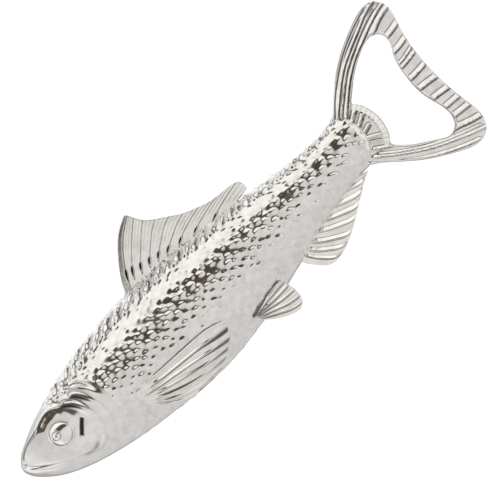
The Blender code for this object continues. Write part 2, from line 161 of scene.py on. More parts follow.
def to_line(x, y, line, steps=28):
    """Distance from points to a smooth line, positive on its left, and how far along it they are, 0 to 1."""
    line = spline(line, steps)
    best = np.full(x.shape, 1e9)
    signed, along = np.zeros(x.shape), np.zeros(x.shape)
    for k, (start, run) in enumerate(zip(line, np.diff(line, axis=0))):
        rx, ry = x - start[0], y - start[1]
        t = np.clip((rx * run[0] + ry * run[1]) / (run @ run), 0, 1)
        away = np.hypot(rx - t * run[0], ry - t * run[1])
        closer = away < best
        best = np.where(closer, away, best)
        signed = np.where(closer, np.sign(run[0] * ry - run[1] * rx) * away, signed)
        along = np.where(closer, (k + t) / (steps - 1), along)
    return signed, along


def table(value, rows):
    """The value read off a table of (from, to) rows."""
    return np.interp(value, *np.array(rows).T)


def bump(away, width):
    """1 on a line, fading away on both sides of it."""
    return np.exp(-((away / width) ** 2))


def sawtooth(away, width):
    """A ridge that slopes down over a width on the side where away is positive, and drops at once on
    the other."""
    return np.clip(1 - away / width, 0, 1)


def scatter(a, b, seed):
    """A repeatable value from -1 to 1 for each pair of whole numbers."""
    return np.sin(np.sin(a * 12.9898 + b * 78.233 + seed * 37.719) * 43758.5453)


def blurred(grid, rows, columns, wrap=False):
    """A grid's running mean over a window, by repeated shifts."""
    def smooth(values, reach, axis):
        pad = [(0, 0), (0, 0)]
        pad[axis] = (reach, reach)
        padded = np.pad(values, pad, mode="wrap" if wrap and axis == 0 else "edge")
        total = np.cumsum(padded, axis=axis)
        total = np.insert(total, 0, 0, axis=axis)
        width = 2 * reach + 1
        high = np.take(total, range(width, total.shape[axis]), axis=axis)
        low = np.take(total, range(0, total.shape[axis] - width), axis=axis)
        return (high - low) / width

    return smooth(smooth(grid, rows, 0), columns, 1)


def hollows(height, reach, depth, wrap=False):
    """How sunken each grid point is against its surroundings, 0 to 1. reach is in grid steps."""
    near = blurred(height, *reach, wrap)
    return np.clip((near - height) / depth, 0, 1)


def count(number, least=4):
    return max(least, int(round(number * DETAIL)))


# --- Pieces -----------------------------------------------------------------------------------
SHARP_ANGLE = 55         # edges sharper than this, in degrees, aren't smoothed over


def make_piece(name, points, faces, painted_shade, slot, replaced):
    """A finished piece from points in the fish frame, riding on the part's one body."""
    mesh = bpy.data.meshes.new(name)
    world = np.asarray(points) * MM + np.array(ORIGIN)
    mesh.from_pydata(world.tolist(), [], [tuple(face) for face in faces])
    # This attribute carries painted shade for the material, 0 to 1.
    layer = mesh.attributes.new("painted_shade", "FLOAT", "POINT")
    layer.data.foreach_set("value", np.asarray(painted_shade, np.float32))
    body = bmesh.new()
    body.from_mesh(mesh)
    bmesh.ops.remove_doubles(body, verts=body.verts, dist=1e-7)
    bmesh.ops.dissolve_degenerate(body, edges=body.edges, dist=1e-8)
    bmesh.ops.recalc_face_normals(body, faces=body.faces)
    body.to_mesh(mesh)
    body.free()
    mesh.shade_smooth()
    mesh.set_sharp_from_angle(angle=math.radians(SHARP_ANGLE))
    mesh.materials.append(METALS[slot])
    piece = bpy.data.objects.new(name, mesh)
    bpy.context.scene.collection.objects.link(piece)
    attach(piece, "root")
    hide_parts(replaced)


def slab(outer, inner, wrap=False):
    """Points and faces of a closed solid between two grids of the same size. wrap joins the first
    row to the last."""
    rows, columns = outer.shape[:2]
    total = rows * columns
    index = np.arange(total).reshape(rows, columns)
    if wrap:
        index = np.vstack([index, index[:1]])
    a, b, c, d = index[:-1, :-1], index[1:, :-1], index[1:, 1:], index[:-1, 1:]
    quads = np.stack([a, b, c, d], axis=-1).reshape(-1, 4)
    faces = [quads, quads[:, ::-1] + total]
    edges = [index[:, 0][::-1], index[:, -1]]
    if not wrap:
        edges += [index[0], index[-1][::-1]]
    for edge in edges:
        one, two = edge[:-1], edge[1:]
        faces.append(np.stack([one, two, two + total, one + total], axis=-1)[:, ::-1])
    points = np.concatenate([outer.reshape(-1, 3), inner.reshape(-1, 3)])
    return points, np.concatenate(faces).tolist()


# --- Scales -----------------------------------------------------------------------------------
SCALE_PITCH = 4.0        # between scales in one row
SCALE_ROW = 1.5          # between rows, which are staggered
SCALE_RISE = 0.29
SCALE_HALF = 0.64        # half width of a scale's raised tip, on its dorsal side
SCALE_LEAN = 1.5         # how much wider its ventral side is
SCALE_RUN = 2.7          # length over which a scale rises to its tip
TIP_POINT = 0.35         # how pointed the tip is
LONE_SCALE = 1.5         # how much higher the odd scale stands on the lower flank
LONE_UNDER = -1.5        # and how far below the middle line that starts
SCALE_DROP = 1.0         # length over which the tip drops to the scale behind it
# How much a scale's ridge falls to the belly on its way aft, by how far over the middle line it is.
SCALE_SLANT = [(-3, 0.08), (2, 0.16), (5, 0.30), (9, 0.28), (14, -0.45)]


def scales(x, s):
    """Relief of scales at places x along the body and s round it. Each rises towards its tip, which
    points aft, and drops off round it."""
    total = np.zeros(x.shape)
    row0 = np.round(s / SCALE_ROW)
    for up in (-2, -1, 0, 1, 2):
        row = row0 + up
        offset = 0.5 * np.mod(row, 2)
        column0 = np.round(x / SCALE_PITCH - offset)
        for along in (-1, 0, 1, 2):
            column = column0 + along
            tip = (column + offset + 0.13 * scatter(row, column, 1)) * SCALE_PITCH
            half = SCALE_HALF * (1 + 0.2 * scatter(row, column, 4))
            slant = table(row * SCALE_ROW, SCALE_SLANT) + 0.14 * scatter(row, column, 5)
            v = s - (row + 0.22 * scatter(row, column, 2)) * SCALE_ROW - slant * (tip - x)
            ahead = tip - x - TIP_POINT * np.abs(v)
            lone = ease(0.62, 0.85, scatter(row, column, 6)) * (row * SCALE_ROW < LONE_UNDER)
            rise = 1 + 0.35 * scatter(row, column, 3) + LONE_SCALE * lone
            ridge = ease(-0.6 * SCALE_DROP, 0.4 * SCALE_DROP, ahead) * (1 - ease(0.2, SCALE_RUN, ahead))
            half = np.where(v > 0, half, SCALE_LEAN * half)
            total += rise * ridge * bump(v, half)
    return SCALE_RISE * total


# --- Head -------------------------------------------------------------------------------------
EYE_CENTRE = (15.1, -1.1)
# The flat cheek's upper border, which widens into a brow over the eye, and its lower border at the jaw.
FACE_TOP = [
    (0.6, -0.3), (1.6, 0.9), (3, 2.1), (5, 3.1), (7, 3.7), (9, 4.2), (10.6, 4.7), (12.2, 5.4), (14, 6.0),
    (16, 6.3), (17.8, 5.9), (19.2, 5.0), (20.6, 3.9), (22, 2.4), (23.0, 0.6), (23.6, -1.6), (23.8, -4.0),
    (23.6, -7.2), (22.6, -10.4), (21.0, -12.4),
]
BROW_WIDTH = [(0, 0.25), (8.8, 0.3), (10.2, 1.0), (11.9, 2.4), (16.3, 2.7), (18.2, 1.5), (21, 1.1), (23, 1.0),
              (23.6, 0.4)]
JAW_LINE = [(0.6, -0.6), (1.8, -1.8), (2.8, -2.7), (4.1, -3.7), (6.0, -5.1), (8.5, -6.6), (11.0, -7.8),
            (13.0, -8.7), (15.4, -9.4)]
CHEEK_BASE = JAW_LINE + [(18.5, -11.0), (22.5, -11.8), (27.0, -11.0)]
FLAT_TILT = 0.035        # slope of the cheek
BROW_TILT = 0.19         # and of the brow above it
CHEEK_SLIT = [(18.9, -5.8), (20.6, -4.0), (22.7, -1.9)]
JAW_CORNER = [(15.2, -10.1), (17.5, -10.9), (20.0, -10.7), (22.2, -9.6)]
# Rear edges of the gill covers, from the top down, each with its step.
GILLS = [
    ([(20.8, 5.3), (23.0, 3.9), (24.6, 1.6), (25.4, -1.0), (25.7, -4.5), (25.0, -8.0), (23.0, -10.7),
      (19.8, -11.8), (16.0, -11.4)], 0.46),
    ([(24.2, 6.0), (26.6, 4.0), (28.1, 1.0), (28.8, -2.2), (28.8, -6.0), (27.7, -9.6), (25.4, -12.8)], 0.44),
    ([(26.6, 6.8), (29.2, 4.8), (30.7, 2.0), (31.4, -0.9), (31.6, -4.4), (30.8, -8.0), (28.9, -11.6),
      (26.1, -14.6)], 0.21),
]
GILL_RISE = 2.6          # how far ahead of its edge a cover starts to rise
GILL_PLATE = 0.12        # slope of the third cover towards the back
GILL_PLATE_TOP = 7.6     # height at which that plate ends
WEDGE_STEP = 0.4         # covers with a bigger step than this have a painted dark wedge of shade ahead of the edge
# Relief of the head's lines, and how much painted shade each gets.
RIM_CUT, RIM_DARK = 0.12, 0.9            # the line round the front of the face
HOOK_DARK = 0.82                         # the hook that runs from the brow down to the gills
BROW_CREST = 0.05
JAW_CUT, LIP_RISE = 0.24, 0.30
CREASE_CUT, CREASE_DARK = 0.05, 0.4      # at the corner of the jaw
SLIT_CUT = 0.45
# Painted shade over the cheek, and along the gill covers' edges.
CHEEK_DARK, EDGE_DARK = 0.09, 0.5
# Where the scales start behind the head.
NAPE = [
    (14.0, 10.0), (17.0, 7.6), (20.0, 6.7), (24.0, 6.8), (28.0, 6.5), (30.8, 5.0), (32.4, 2.2), (33.0, -1.4),
    (32.6, -7.6), (30.2, -12.0), (26.0, -16.0), (22.0, -19.0),
]


def cheek_lift(x, y):
    """How far the flat cheek and the brow stand out of the plain flank, in Z."""
    middle = (back_y(x) + belly_y(x)) / 2
    above, _ = to_line(x, y, FACE_TOP, 48)
    below, _ = to_line(x, y, CHEEK_BASE, 36)
    brow = table(x, BROW_WIDTH) * ease(-6, -2, y)
    level = flank_z(x, middle) - FLAT_TILT * (np.hypot(y - middle, 2.0) - 2.0)
    level -= (BROW_TILT - FLAT_TILT) * np.maximum(above + brow, 0)
    mask = ease(1.5, 0.0, np.maximum(above, 0)) * ease(0.0, 1.3, np.maximum(back_y(x) - y, 0))
    mask *= ease(-0.9, 0.0, below) * ease(0.6, 2.6, x) * ease(26.5, 22.5, x)
    return np.maximum(level - flank_z(x, y), 0) * mask


def head_relief(x, y):
    """Relief of the jaws, brow and gill covers, and the painted shade in their slits and along their lines.
    """
    top, _ = to_line(x, y, FACE_TOP, 40)
    jaw, along = to_line(x, y, JAW_LINE)
    painted_dark = CHEEK_DARK * ease(-0.1, 0.6, jaw) * ease(19, 12, x) * ease(0.1, -0.5, top)
    rim = bump(top, 0.3) * ease(11.5, 9.5, x) * ease(0.9, 2.2, x)
    height = -RIM_CUT * rim
    painted_dark = np.maximum(painted_dark, RIM_DARK * rim)
    hook = ease(-1.6, -1.2, top + 0.35 * np.sin(2.7 * x + 0.6)) * ease(0.1, -0.25, top)
    hook *= ease(16.9, 18.6, x) * ease(-0.6, 0.6, y) * ease(10, 7, y)
    painted_dark = np.maximum(painted_dark, HOOK_DARK * hook)
    crest = bump(top + 1.3, 0.3) * ease(11.2, 12.4, x) * ease(18.0, 16.5, x)
    height += BROW_CREST * crest * (0.25 + 0.8 * bump(x - 13.4, 1.2) + 0.3 * np.sin(3.1 * x))
    height -= JAW_CUT * bump(jaw, 0.42) * ease(1.0, 0.75, along)
    height += LIP_RISE * bump(jaw + 1.5, 0.9) * ease(1.0, 0.75, along)

    corner, along = to_line(x, y, JAW_CORNER)
    crease = bump(corner, 0.40 + 0.3 * along) * ease(0, 0.2, along) * ease(1, 0.7, along)
    height -= CREASE_CUT * crease
    painted_dark = np.maximum(painted_dark, CREASE_DARK * crease)
    across, along = to_line(x, y, CHEEK_SLIT)
    slit = ease(0.76, 0.36, np.abs(across)) * ease(0, 0.04, along) * ease(1, 0.96, along)
    height -= SLIT_CUT * slit
    painted_dark = np.maximum(painted_dark, ease(0.1, 0.5, slit))

    edges = [to_line(x, y, line) for line, _ in GILLS]
    plate = ease(0.3, 1.0, edges[1][0]) * ease(0.3, -0.9, edges[2][0])
    height += GILL_PLATE * np.maximum(np.minimum(y + 3.5, 3.2 * (GILL_PLATE_TOP - y)), 0) * plate
    for (edge, along), (_, step) in zip(edges, GILLS):
        cover = ease(GILL_RISE, 0, -edge) * ease(0.75, 0.0, edge)
        ends = ease(0, 0.06, along) * ease(1, 0.85, along) * (0.30 + 0.70 * ease(-6.0, 1.0, y))
        height += step * cover * ends
        painted_dark = np.maximum(painted_dark, EDGE_DARK * ends * bump(edge - 0.85, 0.25) * ease(-3, 2, y))
        if step > WEDGE_STEP:
            # A painted dark wedge of shade ahead of the edge.
            reach = -0.5 - 0.30 * np.maximum(y + 1, 0)
            wedge = ease(reach - 0.5, reach, edge) * ease(-0.3, -0.6, edge)
            wedge *= ease(-1.2, 0.4, y) * ease(5.0, 4.2, y)
            painted_dark = np.maximum(painted_dark, wedge * (0.85 + 0.15 * np.sin(4.0 * edge)))
    return height, painted_dark


# --- Body skin --------------------------------------------------------------------------------
SECTION_FINE = 241
SNOUT_END, GILLS_END, FLANK_END = 8, 34, 134     # where the mesh along the body changes its spacing
REAR_CURVE = (2.8, 4.8)  # how far the skin's rear edge runs forward at the back and at the belly
# The scales are worn down on the belly, smoother on the band over the middle, and strong on the back.
BELLY_SCALES = 0.30
BAND_WEAR = 0.50
BACK_SCALES = 0.9
SEAM_STEP = 8            # stations of the skin to each face of the seam's rim


def section(number):
    """Half a body section from the back round to the belly: how far up and how far out, -1 to 1."""
    angles = np.linspace(0, math.pi, number)
    up = np.sign(np.cos(angles)) * np.abs(np.cos(angles)) ** (2 / SECTION_POWER)
    return up, np.maximum(np.sin(angles), 0) ** (2 / SECTION_POWER)


def body_stations():
    """Places along the body, closer together on the head and towards the rear edge."""
    head = np.linspace(0, math.sqrt(SNOUT_END - SNOUT_X), count(52)) ** 2 + SNOUT_X
    gills = np.linspace(SNOUT_END, GILLS_END, count(124))[1:]
    flank = np.linspace(GILLS_END, FLANK_END, count(345))[1:]
    rear = BODY_END_X - (BODY_END_X - FLANK_END) * np.linspace(1, 0, count(20))[1:] ** 2
    return np.concatenate([head, gills, flank, rear])


def body_grid(stations, columns):
    """Points of the plain left flank, from the back to the belly at each station, and how far round
    the body each is from its middle line."""
    up, out = section(SECTION_FINE)
    x = stations[:, None] - ease(112, BODY_END_X, stations)[:, None] * np.where(
        up > 0, REAR_CURVE[0] * up**2, REAR_CURVE[1] * up**2)
    middle = (back_y(x) + belly_y(x)) / 2
    y = middle + (back_y(x) - belly_y(x)) / 2 * up
    z = half_width_knots(x) * closing(stations)[:, None] * out
    steps = np.sqrt(np.diff(x) ** 2 + np.diff(y) ** 2 + np.diff(z) ** 2)
    run = np.concatenate([np.zeros((len(x), 1)), np.cumsum(steps, axis=1)], axis=1)
    points = np.zeros((len(x), columns, 3))
    around = np.zeros((len(x), columns))
    for i in range(len(x)):
        wanted = np.linspace(0, run[i, -1], columns)
        for k, values in enumerate((x[i], y[i], z[i])):
            points[i, :, k] = np.interp(wanted, run[i], values)
        around[i] = run[i, SECTION_FINE // 2] - wanted
    return points, around


def grid_normals(points):
    """Normals of a grid whose rows run aft and whose columns run from the back to the belly."""
    normal = unit(np.cross(np.gradient(points, axis=1), np.gradient(points, axis=0)))
    normal[0] = (-1, 0, 0)
    return normal


def body_relief(x, y, around):
    """Relief of the skin, and the painted shade in its slits."""
    signed, _ = to_line(x, y, NAPE, 40)
    behind = ease(-0.3, 0.7, signed)
    middle = (back_y(x) + belly_y(x)) / 2
    normal = flank_normal(x, y)
    tilt = np.degrees(np.arctan2(normal[..., 1], normal[..., 2]))
    worn = BELLY_SCALES + (1 - BELLY_SCALES) * ease(-6.0, 1.0, y - middle)
    worn = worn * (1 - BAND_WEAR * ease(15, 21, tilt) * ease(37, 31, tilt))
    worn = worn * (1 + BACK_SCALES * ease(34, 40, tilt))
    relief = scales(x, around) * behind * worn * ease(BODY_END_X + 0.4, BODY_END_X - 1.0, x)
    painted_dark = np.zeros(x.shape)
    head = x < 36
    head_height, painted_dark[head] = head_relief(x[head], y[head])
    relief[head] += head_height
    return relief, painted_dark


def shell_faces(points, stations):
    """Closes a half skin into a hollow shell: its inner wall, and the flat rim along the seam.

    Returns the inner wall's points and all the faces but the skin's."""
    rows, columns = points.shape[:2]
    first, last = (int(np.argmin(np.abs(stations - limit))) for limit in CAVITY)
    marks = sorted({*range(0, rows - 1, SEAM_STEP), rows - 1, first, last})
    up, out = section(13)
    inner, rings, start = [], {}, rows * columns
    for i in marks:
        if first <= i <= last:
            x = stations[i]
            middle = (back_y(x) + belly_y(x)) / 2
            half_depth = (back_y(x) - belly_y(x)) / 2 - WALL
            depth = half_width_knots(x) - WALL
            rings[i] = range(start + len(inner), start + len(inner) + len(up))
            inner += [(x, middle + half_depth * a, SEAM_HALF + (depth - SEAM_HALF) * b)
                      for a, b in zip(up, out)]
    faces = [list(rings[first]), list(rings[last])]
    for one, two in zip(marks, marks[1:]):
        top = [i * columns for i in range(one, two + 1)]
        bottom = [i * columns + columns - 1 for i in range(one, two + 1)]
        if one in rings and two in rings:
            a, b = rings[one], rings[two]
            faces += [(a[j], a[j + 1], b[j + 1], b[j]) for j in range(len(up) - 1)]
            faces += [top + [b[0], a[0]], bottom + [b[-1], a[-1]]]
        else:
            middle_two = [rings[two][0], rings[two][-1]] if two in rings else []
            middle_one = [rings[one][-1], rings[one][0]] if one in rings else []
            faces.append(top + middle_two + bottom[::-1] + middle_one)
    rear = [(rows - 1) * columns + j for j in range(columns)]
    faces.append(rear)
    return np.array(inner), faces


def body_skin(name, side, replaced):
    """Half the body. side is 1 for the left flank, and -1 for its mirror image."""
    stations = body_stations()
    columns = count(172)
    plain, around = body_grid(stations, columns)
    relief, painted_dark = body_relief(plain[..., 0], plain[..., 1], around)
    plain[..., 2] += cheek_lift(plain[..., 0], plain[..., 1])
    skin = plain + grid_normals(plain) * relief[..., None]
    skin[..., 2] = np.maximum(skin[..., 2], SEAM_HALF)
    skin[:, [0, -1], 2] = SEAM_HALF
    # Painted shade in the sunken places between scales, and in the head's slits and lines.
    painted_shade = np.maximum(0.35 * hollows(relief, (count(3, 1), count(3, 1)), 0.16), painted_dark)
    inner, faces = shell_faces(skin, stations)
    rows = len(stations)
    index = np.arange(rows * columns).reshape(rows, columns)
    quads = np.stack([index[:-1, :-1], index[1:, :-1], index[1:, 1:], index[:-1, 1:]], axis=-1).reshape(-1, 4)
    points = np.concatenate([skin.reshape(-1, 3), inner]) * (1, 1, side)
    shade = np.concatenate([painted_shade.ravel(), np.zeros(len(inner))])
    make_piece(name, points, quads.tolist() + faces, shade, "body_metal", replaced)


# --- Ribbed fins ------------------------------------------------------------------------------


def rounded(half_thick, from_edge, radius):
    """Half thickness near an edge that is rounded over with a radius."""
    into = np.minimum(from_edge, radius)
    return half_thick - radius + np.sqrt(np.maximum(radius**2 - (radius - into) ** 2, 0))


def crowded(number, low_end=True):
    """Numbers from 0 to 1, closer together at both ends, or at the high end alone."""
    t = np.linspace(0, 1, number)
    if low_end:
        return 0.5 * t + 0.5 * (0.5 - 0.5 * np.cos(math.pi * t))
    return 0.45 * t + 0.55 * np.sin(math.pi / 2 * t)


def ray_grid(rays, across, lengthwise):
    """Places on a fin whose rays are given from root to tip. Rows run across the rays, as fractional
    ray numbers, and columns run along them."""
    share = crowded(lengthwise, low_end=False)
    lines = []
    for ray in rays:
        fine = spline(ray, 120)
        run = run_of(fine)
        lines.append([[np.interp(t * run[-1], run, fine[:, k]) for k in range(2)] for t in share])
    lines = np.array(lines)
    numbers = crowded(across) * (len(rays) - 1)
    knots = np.arange(len(rays))
    grid = np.zeros((across, lengthwise, 2))
    for j in range(lengthwise):
        for k in range(2):
            grid[:, j, k] = natural_cubic(list(zip(knots, lines[:, j, k])))(numbers)
    return grid, numbers, share


def run_along(grid, axis):
    """Distance run along an axis of a grid of points."""
    steps = np.linalg.norm(np.diff(grid, axis=axis), axis=-1)
    pad = [(1, 0) if k == axis else (0, 0) for k in range(2)]
    return np.pad(np.cumsum(steps, axis=axis), pad)


def from_rays(grid, numbers, at):
    """Distance of each grid point from the nearest of some rays, measured across the rays."""
    across = run_along(grid, 0)
    nearest = np.full(grid.shape[:2], 1e9)
    for number in at:
        middle = np.array([np.interp(number, numbers, across[:, j]) for j in range(grid.shape[1])])
        nearest = np.where(np.abs(across - middle) < np.abs(nearest), across - middle, nearest)
    return nearest


FIN_HALF = 1.0           # half thickness of a fin plate at its root
BAND_SLOPE = 0.12        # how the dorsal fin's leading band falls away to its edge
BAND_STEP = 0.15         # and how far it stands out of the rays beside it
FINE_CUT = 0.022         # depth of the hairlines between the dorsal fin's rays
# Painted shade along the first ray, over the leading band and along the hairlines.
FIRST_DARK, BAND_DARK, HAIR_DARK = 0.62, 0.26, 0.09


def seam_fin(name, rays, banded, groove_depth, hairs, notch, notch_depth, rib, slopes, replaced):
    """A fin plate in the seam, alike on both faces, with a groove along every ray but the outer two.
    banded says whether its leading edge is a smooth band, and hairs are the fractional ray numbers of
    fainter lines. notch is how far along each ray its deep wedge starts. rib is how far the ribs stand
    up, and slopes is how wide the first and the last rib's slope is."""
    grid, numbers, share = ray_grid(rays, count(230), count(84))
    t = np.broadcast_to(share, grid.shape[:2])
    across, lengthwise = run_along(grid, 0), run_along(grid, 1)
    half = FIN_HALF * (1 - 0.22 * t)
    half = rounded(half, across, 0.45 * FIN_HALF)
    half = rounded(half, across[-1:] - across, 0.5 * FIN_HALF)
    half = rounded(half, lengthwise[:, -1:] - lengthwise, 0.42 * FIN_HALF)
    main = from_rays(grid, numbers, range(1, len(rays) - 1))
    wedge = ease(notch - 0.05, notch + 0.10, t) * ease(notch + 0.20, notch + 0.12, t)
    line = bump(main, 0.20) * ease(notch - 0.03, notch + 0.02, t)
    cut = notch_depth * bump(main, 0.15 + 0.20 * wedge) * wedge
    relief = -groove_depth * line - cut
    slope_width = np.interp(numbers, (1, len(rays) - 2), slopes)[:, None]
    relief += rib * sawtooth(main, slope_width) * ease(-0.12, 0.06, main) * ease(notch - 0.06, notch + 0.1, t)
    first = bump(from_rays(grid, numbers, [1]), 0.22) * ease(0.02, 0.12, t)
    # Painted shade along the first ray and the grooves, darkest in the deep wedges.
    painted_shade = np.maximum(FIRST_DARK * first, (0.10 + 2.2 * groove_depth) * line)
    painted_shade = np.maximum(painted_shade, np.clip(4 * cut, 0, 1))
    if hairs:
        fine = bump(from_rays(grid, numbers, hairs), 0.2) * ease(0.35, 0.6, t)
        relief -= FINE_CUT * fine
        painted_shade = np.maximum(painted_shade, HAIR_DARK * fine)
    if banded:
        into = np.array([np.interp(1, numbers, column) for column in across.T]) - across
        relief -= BAND_SLOPE * np.maximum(into, 0) - BAND_STEP * ease(0, 0.12, into)
        painted_shade = np.maximum(painted_shade, BAND_DARK * ease(0.2, 0.5, into) * ease(0, 0.5, across))
    half = np.maximum(half + relief, 0.18)
    points, faces = slab(np.dstack([grid, half]), np.dstack([grid, -half]))
    make_piece(name, points, faces, np.tile(painted_shade.ravel(), 2), "fin_metal", replaced)


DORSAL_RAYS = [
    [(54.9, 12.4), (57.2, 17.6), (61.8, 24.0), (66.8, 28.8), (71.3, 31.2)],
    [(57.4, 12.6), (59.0, 16.6), (62.8, 22.6), (67.2, 27.2), (72.1, 30.6)],
    [(59.6, 12.9), (61.2, 16.8), (65.0, 21.6), (69.0, 25.6), (73.0, 29.0)],
    [(62.4, 12.9), (64.2, 16.8), (68.0, 20.9), (71.2, 24.0), (74.4, 26.6)],
    [(65.2, 12.9), (67.2, 16.4), (70.6, 19.6), (73.8, 22.3), (77.0, 24.3)],
    [(68.0, 12.7), (70.1, 15.7), (73.9, 18.6), (77.4, 20.9), (80.5, 22.0)],
    [(70.9, 12.4), (73.4, 15.1), (77.4, 17.3), (81.0, 19.0), (84.0, 19.8)],
    [(75.0, 12.0), (78.0, 14.7), (81.6, 16.2), (85.4, 17.3), (88.6, 17.9)],
    [(80.0, 11.4), (83.4, 13.8), (87.4, 15.0), (91.0, 15.9), (94.2, 16.4)],
    [(86.4, 10.4), (90.0, 12.6), (94.0, 13.9), (97.8, 14.8), (101.3, 15.4)],
    [(93.5, 9.6), (96.5, 10.9), (98.8, 11.3), (100.8, 11.6), (102.3, 12.0)],
]
ANAL_RAYS = [
    [(98.3, -12.2), (99.4, -15.6), (101.6, -18.4), (104.0, -20.6), (106.2, -21.2)],
    [(100.0, -12.4), (101.8, -15.9), (104.0, -18.4), (106.4, -20.3), (108.6, -20.8)],
    [(101.6, -12.2), (104.0, -15.4), (107.0, -17.8), (109.6, -19.4), (111.8, -19.8)],
    [(103.6, -11.6), (107.0, -14.6), (110.4, -16.7), (113.0, -18.0), (115.2, -18.2)],
    [(106.6, -10.8), (110.4, -13.3), (114.0, -15.0), (116.6, -16.0), (118.6, -16.2)],
    [(110.2, -9.8), (114.4, -12.0), (117.6, -13.3), (119.9, -14.1), (121.9, -14.1)],
    [(114.4, -8.8), (118.6, -10.6), (121.4, -11.6), (123.5, -12.1), (125.3, -12.0)],
    [(119.6, -7.9), (122.9, -9.1), (125.2, -9.9), (127.0, -10.2), (128.6, -10.0)],
    [(126.0, -7.0), (127.2, -7.8), (128.6, -8.3), (129.8, -8.7), (131.0, -8.8)],
]

PECTORAL_RAYS = [
    [(38.0, -7.3), (46.0, -7.4), (54.0, -7.7), (62.0, -8.1), (67.0, -8.8), (70.6, -10.0)],
    [(38.1, -9.0), (46.0, -9.9), (54.0, -10.6), (62.0, -11.5), (66.6, -12.3), (70.3, -12.8)],
    [(38.3, -10.1), (46.0, -11.3), (54.0, -12.5), (61.0, -13.8), (65.6, -14.7), (68.6, -15.2)],
    [(38.5, -11.1), (46.0, -12.9), (53.0, -14.5), (59.6, -15.9), (63.6, -16.5), (66.4, -16.8)],
    [(38.8, -12.0), (45.2, -14.5), (51.6, -16.4), (57.4, -17.5), (61.2, -18.0), (64.0, -18.2)],
    [(39.1, -12.8), (44.4, -15.8), (49.8, -17.8), (54.8, -18.8), (58.4, -19.2), (61.0, -19.3)],
    [(39.4, -13.5), (43.4, -16.5), (47.6, -18.3), (51.8, -19.2), (55.0, -19.5), (57.6, -19.6)],
    [(39.7, -14.2), (42.8, -16.6), (46.2, -18.3), (49.6, -19.1), (52.6, -19.5), (55.0, -19.7)],
]
PELVIC_RAYS = [
    [(77.6, -16.2), (80.5, -15.5), (84.0, -14.5), (87.5, -13.8), (90.8, -13.6)],
    [(77.7, -16.35), (81.0, -15.95), (84.8, -15.5), (88.2, -15.1), (91.2, -14.9)],
    [(77.8, -16.5), (81.4, -16.5), (85.4, -16.7), (88.7, -16.6), (91.4, -16.4)],
    [(78.0, -16.8), (81.8, -17.2), (85.6, -18.0), (88.9, -18.4), (91.7, -18.5)],
    [(78.2, -17.1), (81.8, -18.2), (85.6, -19.6), (88.8, -20.5), (91.6, -20.8)],
    [(78.4, -17.5), (81.6, -19.2), (85.0, -21.0), (88.0, -22.2), (90.8, -22.6)],
    [(78.6, -18.0), (80.9, -19.8), (83.9, -21.8), (86.6, -23.1), (89.0, -23.6)],
]


RIB_SLOPE = 0.85         # width of a leaf rib's slope, on its dorsal side
TOP_RIB, TOP_DARK = 0.36, 0.6    # the rib along a leaf's upper edge, and the painted shade along the edge itself
# On the pectoral fin: how much the skin swells between the rays, and how much further the lower edge
# stands off the flank.
LEAF_SWELL = 0.04
LEAF_STAND = 1.3


def flank_fin(name, side, rays, under, rise, groove_depth, opening, rib, replaced):
    """A leaf fin on the flank. under gives the places and normals of its inner face, and rise its
    thickness at each share of the way along the rays. opening is how much its grooves widen to the tip,
    0 or 1, and rib is how far its ribs stand up."""
    grid, numbers, share = ray_grid(rays, count(170), count(120))
    t = np.broadcast_to(share, grid.shape[:2])
    number = np.broadcast_to(numbers[:, None], grid.shape[:2])
    across, lengthwise = run_along(grid, 0), run_along(grid, 1)
    edge = np.minimum(np.minimum(across, across[-1:] - across), lengthwise[:, -1:] - lengthwise)
    thick = rounded(rise(t), edge, 0.5)
    away = from_rays(grid, numbers, range(1, len(rays) - 1))
    open_end = ease(0.62, 0.98, t)
    begins = 0.01 + 0.05 * opening * (1 + np.sin(2.4 * np.round(number)))
    line = bump(away, 0.19 + 0.45 * opening * open_end) * ease(begins, begins + 0.10, t)
    relief = -groove_depth * (0.55 + 0.45 * open_end) * line
    relief += LEAF_SWELL * opening * (0.5 - 0.5 * np.cos(2 * math.pi * number)) * ease(0.05, 0.3, t)
    steep = rib * (1 + 0.08 * opening * np.maximum(number - 1, 0)) * (1 - 0.35 * open_end * opening)
    relief += steep * sawtooth(-away, RIB_SLOPE) * ease(0.12, -0.06, away) * ease(begins, begins + 0.22, t)
    relief += TOP_RIB * bump(across - 0.75, 0.45) * ease(0.1, 0.3, t)
    # Painted shade in the grooves and along the upper edge.
    painted_shade = line * ((0.66 + 0.30 * open_end) if opening else (0.85 - 0.4 * t))
    painted_shade = painted_shade * np.interp(number, (0, 3, 7), (1, 0.95, 1 - 0.45 * opening))
    painted_shade = np.maximum(painted_shade, TOP_DARK * ease(0.32, 0.08, across) * ease(0.0, 0.05, t) * ease(1.0, 0.9, t))
    base, normal = under(grid[..., 0], grid[..., 1])
    outer = base + normal * np.maximum(thick + relief, 0.06)[..., None]
    outer[..., 2] += opening * LEAF_STAND * (number / (len(rays) - 1)) * ease(0.05, 0.5, t)
    points, faces = slab(outer * (1, 1, side), base * (1, 1, side))
    make_piece(name, points, faces, np.tile(painted_shade.ravel(), 2), "fin_metal", replaced)


def on_flank(x, y):
    return np.stack([x, y, flank_z(x, y) - 0.05], axis=-1), flank_normal(x, y)


# The pelvic fin's height at its root, how it splays away from there on, and how it curves down on both
# sides of its middle line.
PELVIC_HEIGHT, PELVIC_SPLAY, PELVIC_ROOT = 4.6, 0.09, 78.6
PELVIC_CURVE, PELVIC_MIDDLE = 0.008, -18


